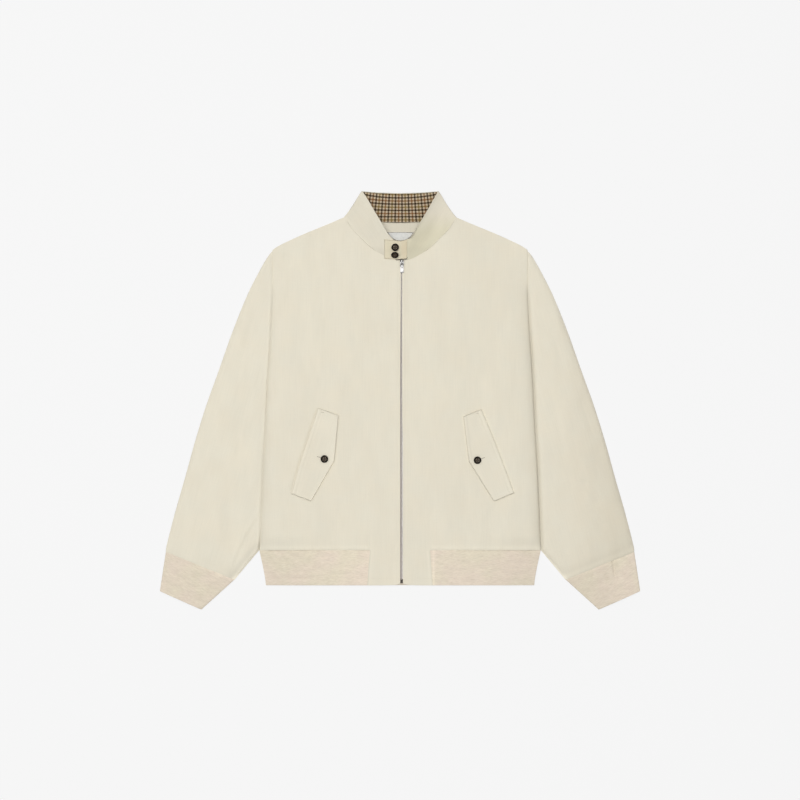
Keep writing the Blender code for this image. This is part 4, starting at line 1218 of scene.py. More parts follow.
def front_columns(side):
    """Column shares of a front, with one exactly on the placket line at the rib seam."""
    zip_edge = zip_edge_x(side)
    width = SIDE_LINE[0][0] - zip_edge
    placket = (PLACKET_AT_SEAM - zip_edge) / width
    first = graded(PLACKET_AT_SEAM - zip_edge, near=0.5, far=1.2) * placket
    # The columns stand closer where the flap's seam folds the front.
    near, far = FLAP_BAND
    beside = PLACKET_AT_SEAM + graded(near - PLACKET_AT_SEAM, near=1.2, far=1.3) * (near - PLACKET_AT_SEAM)
    fold = np.arange(near, far, 1.3)
    outer = far + graded(SIDE_LINE[0][0] - far, near=1.3, far=0.6) * (SIDE_LINE[0][0] - far)
    rest = (np.concatenate([beside, fold[1:], outer]) - zip_edge) / width
    return np.concatenate([first, rest[1:]]), len(first), placket


def front_height(plan, u, v, side):
    """Top of a front: its solid's top with the soft relief and the edge that rides the zip."""
    y = plan[..., 1]
    zip_edge = zip_edge_x(side)
    width = SIDE_LINE[0][0] - zip_edge
    length = NECK_BASE_Y - RIB_SEAM_Y
    side_fall = (FRONT_LEVEL - LAP_LEVEL) * (1 - smoothstep((1 - u) * width / EDGE_ROLL))
    top_fall = FRONT_LEVEL - lookup(FRONT_TOP_LEVELS, u)
    top_fall = top_fall * (1 - smoothstep((1 - v) * length / EDGE_ROLL))
    base = FRONT_LEVEL - np.maximum(side_fall, top_fall) + WALL
    to_side = smoothstep((1 - u) * width / FRONT_CALM["side"])
    to_top = smoothstep((1 - v) * length / FRONT_CALM["top"])
    from_zip = np.abs(np.abs(plan[..., 0]) - zip_edge)
    ride = ZIP_EDGE_RISE[side] * np.exp(-from_zip / ZIP_EDGE_REACH)
    from_side = (1 - u) * width
    along, across = from_flap(side, plan)
    under_flap = smoothstep((across - flap_seam_line(side, along)) / 3)
    swell = side_swell(plan, from_side) + seam_fold(side, along, across) * (1 - under_flap)
    edge = 0.5 * np.exp(-from_side / 1.4)
    tuck_depth, tuck_x = NECK_TUCK
    tucked = tuck_depth * np.exp(-(((y - NECK_BASE_Y) / 1.5) ** 2) - ((plan[..., 0] - tuck_x) / 9) ** 4)
    return base + body_relief(plan) * to_side * to_top + ride + swell - edge - tucked


def eased(plan, side):
    """A front's plan with its zip edge drawn in over the chain, below the slider."""
    x, y = plan[..., 0], plan[..., 1]
    inwards = -SIGN[side]
    from_edge = np.abs(x + inwards * zip_edge_x(side))
    drawn = lookup(ZIP_COVER[side], y) * (1 - smoothstep((y - 240) / 8)) * np.exp(-from_edge / 14)
    return np.stack([x + inwards * drawn, y], -1)


def front(side, material):
    zip_edge = zip_edge_x(side)
    columns, placket_count, placket = front_columns(side)
    neckline = Line([(zip_edge, NECK_BASE_Y), *neck_seam(side)])
    zip_line = Line([(zip_edge, RIB_SEAM_Y), (zip_edge, NECK_BASE_Y)])
    rows = graded(zip_line.length, step=2.8, near=0.8, far=0.5)
    top = joined(neckline, Line(SHOULDER_LINE), FRONT_NECK_SHARE)
    own = patch([(zip_edge, RIB_SEAM_Y), SIDE_LINE[0]], top, zip_line, SIDE_LINE, columns, rows)
    u, v = np.meshgrid(columns, rows)
    plan = own * MIRROR[side]
    heights = front_height(plan, u, v, side)

    drop = graded(RIB_SEAM_Y - HEM_Y, near=0.5, far=2.0)[:-1]
    strip_u, strip_v = np.meshgrid(columns[:placket_count], drop)
    outer = PLACKET_AT_HEM + (PLACKET_AT_SEAM - PLACKET_AT_HEM) * strip_v
    strip_x = zip_edge + (outer - zip_edge) * strip_u / placket
    lift = HEM_CORNER_LIFT * (1 - strip_v) * np.exp(-(strip_x - zip_edge) / HEM_CORNER_REACH)
    strip_y = HEM_Y + (RIB_SEAM_Y - HEM_Y) * strip_v + lift
    strip = np.stack([strip_x, strip_y], -1) * MIRROR[side]
    strip_heights = front_height(strip, strip_u, np.zeros_like(strip_u), side)
    strip_heights -= PLACKET_EDGE_DROP * band(strip_u * PLACKET_AT_SEAM / placket, PLACKET_AT_SEAM, 1.5)

    plans = eased(np.concatenate([strip.reshape(-1, 2), plan.reshape(-1, 2)]), side)
    tops = np.concatenate([strip_heights.ravel(), heights.ravel()])
    index = strip_u.size + grid(u.shape)
    strip_index = np.vstack([grid(strip_u.shape), index[:1, :placket_count]])
    faces = np.vstack([quads(strip_index), quads(index)])
    if side == "right":
        faces = faces[:, ::-1]
    points = np.concatenate([plans, tops[:, None]], -1)
    name = f"front_{side}_cloth"
    mesh = make_mesh(name, points, faces, plans, tone=partial(front_tone, side))
    piece = thicken(place(name, mesh, material), SHELL_THICKNESS)
    declare(piece, f"front_{side}", "shell", plans, faces, ["back_cloth", f"sleeve_{side}_cloth"])


def back(material):
    start_y = RIB_SEAM_Y + SEAM
    cut_side = lapped(gap=SEAM)
    cut_side[0] = (cut_side[0][0], start_y)
    shoulder = [row for row in SHOULDER_LINE if row[0] < cut_side[-1][0]]
    side = Line(cut_side, smooth=False)
    columns = np.linspace(0, 1, 60)
    own = patch(
        [(0, start_y), cut_side[0]],
        joined(Line(BACK_NECKLINE), Line([*shoulder, cut_side[-1]]), BACK_NECK_SHARE),
        [(0, start_y), BACK_NECKLINE[0]],
        side,
        columns,
        np.linspace(0, 1, 130),
    )
    whole = both_halves(own)
    hidden_neck = smoothstep((BACK_NECKLINE[0][1] - 60 - whole[..., 1]) / 40)
    to_side = smoothstep((side_x(whole[..., 1]) - ARMHOLE_LAP - np.abs(whole[..., 0])) / 30)
    above_seam = whole[..., 1] - start_y
    soft = crease_relief(whole, BACK_CREASES) + 0.3 + 0.3 * soft_noise(whole, (40, 80), 21)
    soft = np.maximum(soft, 0.0) * hidden_neck * to_side * smoothstep(above_seam / 8)
    tucks = 0.25 * np.abs(puckers(whole[..., 0], above_seam, 23)) * np.exp(-above_seam / 20)
    heights = WALL + soft + tucks
    sheet_piece("back", whole, heights, WALL, material, ["floor"])


def rib_wave(along):
    """Rounded ribs across a band, as heights of 0 to RIB_DEPTH; along is in millimetres."""
    return RIB_DEPTH * np.abs(np.sin(np.pi * along / RIB_PITCH)) ** 0.7


def rib_columns(length, wide_ends=True):
    """Shares with four steps a rib, and a wide first and last step that a rounded edge fits in."""
    count = int(length / RIB_PITCH) * RIB_STEPS
    shares = np.linspace(0, 1, count + 1)
    return np.concatenate([shares[:1], shares[3:-3], shares[-1:]]) if wide_ends else shares


def hem_rib_front(side, material):
    width = SIDE_LINE[0][0] - PLACKET_AT_SEAM
    top_y = RIB_SEAM_Y + SEAM_UNDERLAP
    under = 2 * SEAM_UNDERLAP  # it runs on under the placket and the front
    inner = [(PLACKET_AT_HEM - under, HEM_Y), (PLACKET_AT_SEAM - under, top_y)]
    outer = [*RIB_SIDE[:-1], (RIB_SIDE[-1][0], top_y)]
    columns = rib_columns(width)
    rows = graded(RIB_SEAM_Y - HEM_Y, step=3.0, near=1.2, far=1.2)
    own = patch([inner[0], outer[0]], [inner[1], outer[-1]], inner, outer, columns, rows)
    u, v = np.meshgrid(columns, rows)
    roll = smoothstep((1 - u) * width / EDGE_ROLL)
    level = RIB_SIDE_LEVEL + (RIB_LEVEL - RIB_SIDE_LEVEL) * roll + RIB_WALL
    plan = own * MIRROR[side]
    below = (1 - v) * (RIB_SEAM_Y - HEM_Y)
    bulge = 0.8 * np.sin(np.pi * np.clip(v, 0, 1)) ** 0.8 * smoothstep((1 - u) * width / 20)
    bulge *= smoothstep(u * width / 30)
    seam_side = 0.45 * band(below, 0, 1.6)
    soft = crease_relief(plan, HEM_RIB_CREASES) + 0.25 * soft_noise(plan, (24, 9), 31)
    drawn = 0.6 * puckers(plan[..., 0], below, HEM_SEED) * np.exp(-below / 12)
    fade = smoothstep(v / 0.12) * smoothstep((1 - v) / 0.05) * smoothstep((1 - u) * width / 10)
    heights = level + bulge + (soft + drawn) * fade + rib_wave(u * width) * (0.3 + 0.7 * fade)
    heights += 0.35 - seam_side
    low = np.abs(rows - HEM_ROW_RISE / (RIB_SEAM_Y - HEM_Y)).argmin()
    beside = np.abs(columns - RIB_ROW_INSET / width).argmin()
    for path in (np.s_[low, 4:-4], np.s_[4:-4, beside]):
        RIB_ROWS.append(raised(plan[path], heights[path]))
    look = {"slot": "rib", "ending": "knit", "tone": partial(rib_tone, side)}
    side_sheet("hem_rib", side, own, heights, RIB_WALL, material, ["hem_rib_back_knit"], **look)


def hem_rib_back(material):
    half = rib_columns(RIB_SIDE[-1][0])
    half = np.concatenate([np.linspace(0, half[1], 4)[:-1], half[1:]])
    rows = graded(RIB_SEAM_Y - HEM_Y, step=9.0, near=2.0, far=2.0)
    own = patch(
        [(0, HEM_Y), RIB_SIDE[0]],
        [(0, RIB_SEAM_Y), RIB_SIDE[-1]],
        [(0, HEM_Y), (0, RIB_SEAM_Y)],
        RIB_SIDE,
        half,
        rows,
    )
    whole = both_halves(own)
    u = np.concatenate([-half[:0:-1], half])[None] * np.ones(len(rows))[:, None]
    heights = RIB_WALL - RIB_DEPTH + rib_wave(u * RIB_SIDE[-1][0])
    sheet_piece("hem_rib_back", whole, heights, RIB_WALL - RIB_DEPTH, material, ["floor"], "rib", "knit")


# Sleeves and cuffs


def sleeve_edges():
    """Armhole, cuff seam, inner edge and outer edge of the left sleeve as it lies."""
    armhole = Line([point for point in lapped() if point[1] >= UNDERARM_Y], smooth=False)
    under_body = [point for point in lapped() if point[1] <= UNDERARM_Y]
    inner = Line([*under_body[::-1], CUFF_SEAM_INNER], smooth=False)
    drawn_in = moved(SLEEVE_OUTER[:-2], x=-SLEEVE_DRAWN_IN)
    outer = Line([tuple(armhole.points[-1]), *drawn_in, *SLEEVE_OUTER[-2:]])
    return armhole, Line(CUFF_SEAM), inner, outer


def sleeve_crown(side, from_inner, from_outer, y, v):
    """How high the sleeve stands: less towards the shoulder and towards the cuff."""
    rise = quarter_round(from_inner - SLEEVE_GROOVE[side], SLEEVE_INNER_RISE[side])
    fall = quarter_round(from_outer, SLEEVE_OUTER_RISE)
    crown = SLEEVE_CROWN[side] * rise * fall
    crown *= 1 - 0.85 * smoothstep((y - 130) / 110)
    return crown * (1 - (1 - CROWN_AT_CUFF) * smoothstep((v - 0.86) / 0.14))


def cuff_top_near_seam(edge, drawn):
    """Top of the cuff where it is sewn in, from its distance to the cuff's side edges."""
    cuff_round = quarter_round(edge, CUFF_FOLD_RADIUS)
    swell = 0.75 * CUFF_CROWN * smoothstep(edge / 26) + 0.5 * drawn
    return CUFF_EDGE_HEIGHT / 2 * (1 + cuff_round) + swell * cuff_round


def sleeve(side, material):
    armhole, cuff_seam, inner, outer = sleeve_edges()
    columns = graded(SLEEVE_GRID[0], step=2.4, near=0.5, far=0.5)
    rows = graded(SLEEVE_GRID[1], step=2.7, near=2.7, far=0.9)
    own = patch(armhole, cuff_seam, inner, outer, columns, rows)
    u, v = np.meshgrid(columns, rows)
    plan, y = own * MIRROR[side], own[..., 1]
    covered = (own[..., 0] < side_x(y)) & (y > RIB_SEAM_Y)
    bare_inner = Line([*SIDE_LINE[::-1], CUFF_SEAM_INNER], smooth=False)
    from_inner = np.where(covered, 0.0, distance_to(own, bare_inner))
    from_outer = distance_to(own, outer)
    edge = np.minimum(distance_to(own, inner), from_outer)
    to_cuff = distance_to(own, cuff_seam)

    creases = crease_relief(plan, SLEEVE_CREASES[side])
    soft = creases + 0.5 * soft_noise(plan, (30, 70), 41) + 0.25 * soft_noise(plan, (13, 34), 42)
    reach = smoothstep(from_inner / 6) * smoothstep(from_outer / 12)
    ends = smoothstep(10 * u) * smoothstep(10 * (1 - u))
    tucks = puckers(u * cuff_seam.length, to_cuff, CUFF_SEED[side])
    drawn = (tucks + seam_dip(to_cuff)) * ends
    # Beside the body's edge the sleeve's top is flush with it, except under the arm.
    flush = 1.25 * smoothstep((y - 40) / 190) * smoothstep((from_inner - 0.2) / 2.6)
    flush *= np.where(covered, 0.0, 1.0) * smoothstep(from_outer / 8)
    crown = sleeve_crown(side, from_inner, from_outer, y, v)
    bulge = crown + np.maximum(soft + 0.9, 0.0) * reach + drawn + flush
    half = SLEEVE_EDGE_HEIGHT / 2
    rounding = quarter_round(edge, FOLD_RADIUS)
    rounding = np.where(v < 0.02, np.maximum(rounding, 0.2), rounding)
    tops = half + half * rounding + np.maximum(bulge, 0.0) * smoothstep(edge / 4)
    onto_cuff = cuff_top_near_seam(edge, drawn) + 0.2
    tops += (onto_cuff - tops) * band(to_cuff, 0, SLEEVE_ONTO_CUFF)
    under = np.maximum(creases, 0.0) * reach * 0.7
    bottoms = half - half * rounding + under * smoothstep(to_cuff / 12)
    bottoms = np.minimum(bottoms, tops - 2.1 * SHELL_THICKNESS * rounding)
    bottoms = np.maximum(bottoms, 0.0)
    look = ("shell", "cloth", SLEEVE_LEAN, sleeve_tone)
    tube_piece("sleeve", side, own, tops, bottoms, SHELL_THICKNESS, material, *look)


def cuff(side, material):
    seam_ends, end_corners = np.array(CUFF_SEAM), np.array([CUFF_INNER_CORNER, CUFF_OUTER_CORNER])
    # The cuff starts under the sleeve's edge, so that the seam shows as a soft groove.
    away = seam_ends[1] - end_corners[1]
    seam_ends = seam_ends + away / np.linalg.norm(away) * SEAM_UNDERLAP
    seam, inner, outer = Line(seam_ends), *map(Line, zip(seam_ends, end_corners))
    columns = rib_columns(seam.length, wide_ends=False)
    rows = graded(inner.length, step=4.2, near=1.2, far=1.2)
    own = patch(seam, end_corners, inner, outer, columns, rows)
    u, v = np.meshgrid(columns, rows)
    plan = own * MIRROR[side]
    edge = np.minimum(distance_to(own, inner), distance_to(own, outer))
    to_seam = distance_to(own, seam)
    half = CUFF_EDGE_HEIGHT / 2
    rounding = quarter_round(edge, CUFF_FOLD_RADIUS)
    bulge = CUFF_CROWN * smoothstep(edge / 26) * (0.75 + 0.25 * np.sin(np.pi * v))
    soft = crease_relief(plan, CUFF_CREASES[side]) + 0.3 * soft_noise(plan, (20, 12), 51)
    drawn = 0.5 * puckers(u * seam.length, to_seam, CUFF_SEED[side]) * np.exp(-to_seam / 12)
    ribs = rib_wave(u * seam.length)
    waist = -0.5 * band(to_seam, 0, 2.0)
    relief = bulge + (soft + drawn) * smoothstep(edge / 10) + waist + ribs
    tops = half + (half + relief) * rounding
    bottoms = half - (half - RIB_DEPTH + ribs) * rounding
    look = ("rib", "knit", CUFF_LEAN, cuff_tone)
    tube_piece("cuff", side, own, tops, bottoms, RIB_WALL - 0.4, material, *look)


# Collar, facing and label


def collar_back(material):
    neck = moved(BACK_NECKLINE, y=SEAM)
    own = patch(
        neck,
        COLLAR_TOP,
        [neck[0], COLLAR_TOP[0]],
        [neck[-1], *COLLAR_FOLD[1:]],
        graded(LINING_GRID[0]),
        graded(COLLAR_TOP_Y - neck[0][1]),
    )
    whole = both_halves(own)
    heights = np.full(whole.shape[:2], WALL)
    sheet_piece("collar_back", whole, heights, WALL, material, ["floor"])


def collar_inside(material):
    bottom = moved(BACK_NECKLINE, y=2 * SEAM)
    bottom[-1] = (bottom[-1][0] - 2 * LINING_INSET, bottom[-1][1])
    fold = moved(COLLAR_FOLD, x=-2 * LINING_INSET, y=-LINING_INSET)
    fold[0] = bottom[-1]
    top = [*moved(COLLAR_TOP[:-1], y=-LINING_INSET), fold[-1]]
    columns, rows = (graded(size, step=2.0) for size in LINING_GRID)
    own = patch(bottom, top, [bottom[0], top[0]], fold, columns, rows)
    whole = both_halves(own)
    soft = 0.25 * soft_noise(whole, (26, 18), 61) + 0.25
    heights = BACK_LINING_LEVEL + LINING_WALL + soft * smoothstep((whole[..., 1] - 335) / 12)
    # The check follows the collar's curved top and leans out a little towards its ends.
    x, y = whole[..., 0], whole[..., 1]
    grain = np.stack([x - x * (383 - y) * 0.0022, y - (x / 54) ** 2 * 4.2 * (y - 336) / 44], -1)
    laid = (["collar_back_cloth"], "check_lining")
    sheet_piece("collar_lining", whole, heights, LINING_WALL, material, *laid, grain=grain)


def facing(material):
    columns = np.linspace(-1, 1, 74)
    rows = graded(FACING_DEPTH, step=2.5)
    x = FACING_HALF_WIDTH * columns
    upper = lookup(BACK_NECKLINE, np.abs(x))
    depth = FACING_DEPTH + (FACING_END_DEPTH - FACING_DEPTH) * columns**2
    y = upper[None] - depth[None] * (1 - rows[:, None])
    plan = np.stack([np.broadcast_to(x, y.shape), y], -1)
    soft = 0.2 * soft_noise(plan, (30, 16), 63) * smoothstep((upper[None] - y) / 12)
    piped = 0.5 * band(y, upper[None], 1.3)
    heights = BACK_LINING_LEVEL + LINING_WALL + soft * 0.5 + piped
    sheet_piece("neck_facing", plan, heights, LINING_WALL, material, ["back_cloth"])


def label_outline(inset=0.0):
    """Half-moon from its left corner round the lower edge to the right one."""
    radius = ((LABEL_WIDTH / 2) ** 2 + LABEL_DEPTH**2) / (2 * LABEL_DEPTH)
    centre_y = LABEL_TOP_Y - LABEL_DEPTH + radius
    half_angle = math.asin(LABEL_WIDTH / 2 / radius)
    angles = np.linspace(-half_angle, half_angle, 49)
    x = LABEL_MIDDLE_X + (radius - inset) * np.sin(angles)
    return np.stack([x, centre_y - (radius - inset) * np.cos(angles)], -1)


def label(material):
    """Bare half-moon label between its round lower edge and its straight top."""
    arc = label_outline()
    top = np.stack([arc[:, 0], np.full(len(arc), LABEL_TOP_Y)], -1)
    rows = graded(LABEL_DEPTH, step=1.5)[:, None, None]
    plan = arc[None] * (1 - rows) + top[None] * rows
    heights = LABEL_LEVEL + LABEL_WALL + 0.12 * soft_noise(plan, (9, 6), 65)
    sheet_piece("neck_label", plan, heights, LABEL_WALL, material, ["neck_facing_cloth"], "label")


def collar_front(side, material):
    end = COLLAR_END[side]
    edge = COLLAR_EDGE[side]
    neckline = moved(neck_seam(side), x=SEAM, y=-SEAM)
    end = (end[0] - (4.0 if side == "left" else 0.0), end[1] - 2 * SEAM)
    edge = [(end[0], edge[0][1]), *edge[1:]]
    seam = [end, *[point for point in neckline if point[0] > end[0] + 2]]
    columns = graded(COLLAR_GRID[0], step=2.0)
    rows = graded(COLLAR_GRID[1], step=1.8)
    own = patch(seam, edge, [end, edge[0]], [seam[-1], *COLLAR_FOLD[1:]], columns, rows)
    u, v = np.meshgrid(columns, rows)
    plan = own * MIRROR[side]
    end_rise = TAB_LEVEL - FRONT_LEVEL if side == "left" else 0.0
    fall = (FRONT_LEVEL - COLLAR_FOLD_LEVEL) * smoothstep((u - 0.65) / 0.35)
    level = FRONT_LEVEL - fall + end_rise * (1 - smoothstep(u / 0.25)) + WALL
    soft = crease_relief(plan, COLLAR_CREASES) + 0.25 * soft_noise(plan, (22, 22), 67) + 0.3
    inside = smoothstep(v / 0.15) * smoothstep((1 - u) / 0.08) * smoothstep(u / 0.08)
    stitched = -0.45 * band((1 - v) * COLLAR_GRID[1], 3.2, 1.2)
    seam_edge = -0.2 * band(v * COLLAR_GRID[1], 0, 1.5)
    heights = level + neck_rise(plan) + soft * inside + (stitched + seam_edge) * smoothstep((1 - u) / 0.05)
    look = {"lean": SIGN[side] * COLLAR_LEAN, "tone": partial(collar_tone, side)}
    under = ["collar_lining_cloth"]
    side_sheet("collar_front", side, own, heights, SHELL_THICKNESS, material, under, **look)


def tab_height(plan):
    """Top of the collar's tab, whose lower edge waves a little over the zip."""
    x, y = plan[..., 0], plan[..., 1]
    low = smoothstep((y - 260) / 12)
    wave = (1 - low) * (0.9 * band(x, 2.5, 8) + 0.35 * np.sin(x / 2.3))
    left = 0.4 * band(x, TAB_TOP[0][0], 3.0)
    into_collar = 0.15 * smoothstep((x - 3) / 10)
    return TAB_LEVEL + FLAP_WALL + neck_rise(plan) + np.maximum(wave, -0.1) - left - into_collar


def tab(material):
    plan = patch(
        TAB_BOTTOM,
        TAB_TOP,
        [TAB_BOTTOM[0], TAB_TOP[0]],
        [TAB_BOTTOM[-1], TAB_TOP[-1]],
        graded(TAB_GRID[0], step=1.3),
        graded(TAB_GRID[1], step=1.3),
    )
    under = ["collar_front_right_cloth"]
    sheet_piece("collar_tab", plan, tab_height(plan), FLAP_WALL, material, under, lean=TAB_LEAN)


# Pocket flaps


def on_flap(side, points):
    """Plan of points given as (along, across) from a flap's top corner."""
    points = np.asarray(points, float)
    along, across = points[..., 0], points[..., 1]
    tilt = math.radians(FLAP_TILT[side])
    outwards = SIGN[side]
    corner_x, corner_y = FLAP_TOP_CORNER[side]
    x = corner_x + outwards * (along * math.sin(tilt) - across * math.cos(tilt))
    return np.stack([x, corner_y - along * math.cos(tilt) - across * math.sin(tilt)], -1)


def from_flap(side, plan):
    """How far plan points lie down a flap's seam and across from it."""
    tilt = math.radians(FLAP_TILT[side])
    outwards = SIGN[side]
    corner_x, corner_y = FLAP_TOP_CORNER[side]
    right, down = outwards * (plan[..., 0] - corner_x), corner_y - plan[..., 1]
    return (right * math.sin(tilt) + down * math.cos(tilt), down * math.sin(tilt) - right * math.cos(tilt))


def flap_seam_line(side, along):
    return lookup(FLAP_SEAM_LINE[side], along)


def seam_fold(side, along, across):
    """Front and flap fold down at the seam and rise to a soft strip before its stitching."""
    fade = smoothstep((along + 2) / 10) * smoothstep((FLAP_LENGTH + 2 - along) / 10)
    out = across - flap_seam_line(side, along)
    fold = -FLAP_FOLD_DEPTH[side] * band(out, 0, 2.4) + 0.5 * band(out, 4.6, 2.2)
    fold += -0.6 * band(out, FLAP_STITCH_ROW, 1.3) + 0.4 * band(out, 10.9, 1.8)
    return fold * fade


def flap_height(side, plan, along, across, free):
    """Top of a flap: pressed flat at its seam, its free edge standing off the front a little."""
    lifted = 0.7 * smoothstep((across - 4) / 26) + 0.3 * np.exp(-free / 5.0) + side_swell(plan)
    seam_ridge = seam_fold(side, along, across)
    stitched = -0.25 * band(free, 2.2, 0.8)
    from_seam = across - flap_seam_line(side, along)
    into_seam = -(FLAP_WALL + SEAM + 0.25) * (1 - smoothstep(from_seam / 1.6))
    from_button = np.hypot(along - FLAP_BUTTON[0], across - FLAP_BUTTON[1])
    button_pull = -0.5 * band(from_button, 0, 11)
    top = FLAP_LEVEL + FLAP_WALL + body_relief(plan)
    return top + lifted + seam_ridge + stitched + button_pull + into_seam


def pocket_flap(side, material):
    places = np.linspace(0, FLAP_LENGTH, 12)
    seam = [(along, float(flap_seam_line(side, along))) for along in places]
    free_edge = FLAP_FREE_EDGE[side]
    free = Line(free_edge, smooth=False)
    corner = free.lengths[1] / free.lengths[2]
    above, below = (graded(size, step=2.2) for size in FLAP_GRID[:2])
    columns = np.concatenate([above * corner, corner + below[1:] * (1 - corner)])
    local = patch(
        seam,
        free,
        [seam[0], free_edge[0]],
        [seam[-1], free_edge[-1]],
        columns,
        graded(FLAP_GRID[2], step=2.0, near=0.6, far=0.4),
    )
    outline = Line([seam[0], *free_edge, seam[-1]], smooth=False)
    plan = on_flap(side, local)
    heights = flap_height(side, plan, local[..., 0], local[..., 1], distance_to(local, outline))
    look = {"lean": SIGN[side] * FLAP_TILT[side], "tone": partial(flap_tone, side)}
    laid = {"rests_on": [f"front_{side}_cloth"], "flipped": side == "left"}
    sheet_piece(f"pocket_flap_{side}", plan, heights, FLAP_WALL - 0.2, material, **look, **laid)


# Stitching


def node_tree(name, inputs):
    """A Geometry Nodes tree with named inputs, with its input sockets and a way to add nodes."""
    tree = bpy.data.node_groups.new(name, "GeometryNodeTree")
    for title, kind in inputs.items():
        tree.interface.new_socket(title, in_out="INPUT", socket_type="NodeSocket" + kind)
    tree.interface.new_socket("Result", in_out="OUTPUT", socket_type="NodeSocketGeometry")

    def add(kind, settings=None, **inputs):
        made = tree.nodes.new(kind)
        for key, value in (settings or {}).items():
            setattr(made, key, value)
        for key, value in inputs.items():
            socket = made.inputs[key.replace("_", " ")]
            if isinstance(value, bpy.types.NodeSocket):
                tree.links.new(value, socket)
            else:
                socket.default_value = value
        return made.outputs[0] if len(made.outputs) == 1 else made.outputs

    return tree, add("NodeGroupInput"), add


def finish_tree(tree, add, shape, material):
    """Ends a tree by making its copies real and giving them their material."""
    real = add("GeometryNodeRealizeInstances", Geometry=shape)
    finished = add("GeometryNodeSetMaterial", Geometry=real, Material=material)
    result = tree.nodes.new("NodeGroupOutput")
    tree.links.new(finished, result.inputs[0])
    return tree


def spaced_points(add, path, pitch):
    curve = add("GeometryNodeMeshToCurve", Mesh=path)
    return add("GeometryNodeResampleCurve", {"mode": "LENGTH"}, Curve=curve, Length=pitch)


def stitch_tree():
    """Geometry Nodes: a stitch of thread at every pitch along a path, turned from it by an angle."""
    sizes = dict.fromkeys(("Pitch", "Length", "Thickness", "Turn"), "Float")
    tree, given, add = node_tree("stitch_run", {"Path": "Geometry", **sizes, "Thread": "Material"})
    along = add("FunctionNodeAlignRotationToVector", {"axis": "X"}, Vector=add("GeometryNodeInputTangent"))
    turn = add("FunctionNodeAxisAngleToRotation", Axis=(0, 0, 1), Angle=given["Turn"])
    turned = add("FunctionNodeRotateRotation", {"rotation_space": "LOCAL"}, Rotation=along, Rotate_By=turn)
    thickness = given["Thickness"]
    size = add("ShaderNodeCombineXYZ", X=given["Length"], Y=thickness, Z=thickness)
    bead = add("GeometryNodeMeshUVSphere", Segments=6, Rings=5, Radius=0.5)[0]
    copies = add(
        "GeometryNodeInstanceOnPoints",
        Points=spaced_points(add, given["Path"], given["Pitch"]),
        Instance=add("GeometryNodeSetShadeSmooth", Geometry=bead),
        Rotation=turned,
        Scale=size,
    )
    return finish_tree(tree, add, copies, given["Thread"])


def run_tree(obj, tree, values):
    """Runs a Geometry Nodes tree on an object with these inputs and keeps the plain mesh."""
    modifier = obj.modifiers.new(tree.name, "NODES")
    modifier.node_group = tree
    sockets = {
        item.name: item.identifier
        for item in tree.interface.items_tree
        if item.item_type == "SOCKET" and item.in_out == "INPUT"
    }
    for name, value in values.items():
        modifier[sockets[name]] = value
    return settle(obj)


def path_mesh(name, paths):
    points, edges = [], []
    for path in paths:
        start = len(points)
        points += [tuple(point) for point in np.asarray(path) * MM]
        edges += [(start + i, start + i + 1) for i in range(len(path) - 1)]
    mesh = bpy.data.meshes.new(name)
    mesh.from_pydata(points, edges, [])
    return mesh


def stitches(name, paths, colour, slot, pitch=STITCH_PITCH, length=STITCH_LENGTH,
             thickness=STITCH_THICKNESS, turn=0.0):
    obj = show(name, path_mesh(name, paths))
    sizes = {"Pitch": pitch * MM, "Length": length * MM, "Thickness": thickness * MM}
    run_tree(obj, STITCH_TREE, {**sizes, "Turn": math.radians(turn), "Thread": colour})
    TRIM.append((obj, [], slot))


def raised(plan, heights, lift=0.05):
    return np.concatenate([plan, (heights + lift)[..., None]], -1)


def front_seam_paths(side):
    """Rows of stitching beside the zip, down to the hem and along the placket."""
    zip_edge = zip_edge_x(side)
    width = SIDE_LINE[0][0] - zip_edge
    paths = []
    for inset in ZIP_STITCH_INSETS[side]:
        y = np.linspace(NECK_BASE_Y - 3, HEM_Y + 6, 260)
        x = np.full_like(y, zip_edge + inset)
        plan = np.stack([SIGN[side] * x, y], -1)
        u = (x - zip_edge) / width
        v = np.clip((y - RIB_SEAM_Y) / (NECK_BASE_Y - RIB_SEAM_Y), 0, 1)
        paths.append(raised(eased(plan, side), front_height(plan, u, v, side)))
    y = np.full(26, HEM_Y + HEM_ROW_RISE)
    x = np.linspace(zip_edge + 4, PLACKET_AT_HEM - 2, 26)
    plan = np.stack([SIGN[side] * x, y], -1)
    paths.append(raised(plan, front_height(plan, (x - zip_edge) / width, np.zeros_like(x), side)))
    return paths


def tab_paths():
    plan = Line(TAB_STITCHED, smooth=False).at(np.linspace(0, 1, 90))
    return [raised(plan, tab_height(plan))]


def flap_path(side, row, free):
    """Path on a flap's top through points given as (along, across), this far from its edges."""
    plan = on_flap(side, row)
    return raised(plan, flap_height(side, plan, row[:, 0], row[:, 1], free))


def flap_paths(side):
    """The seam's stitching and a row inside the free edge."""
    along = np.linspace(1.5, 164, 80)
    rows = [np.stack([along, flap_seam_line(side, along) + FLAP_STITCH_ROW], -1)]
    (_, top), (middle, low), (_, end) = FLAP_FREE_EDGE[side]
    inner = [(3.2, 1.5), (3.3, top - 1.8), (middle, low - 2.4), (164.4, end - 1.8), (163.3, 1.5)]
    rows.append(Line(inner, smooth=False).at(np.linspace(0, 1, 150)))
    outline = Line([(0, 0), *FLAP_FREE_EDGE[side], (FLAP_LENGTH, 0)], smooth=False)
    return [flap_path(side, row, distance_to(row, outline)) for row in rows]


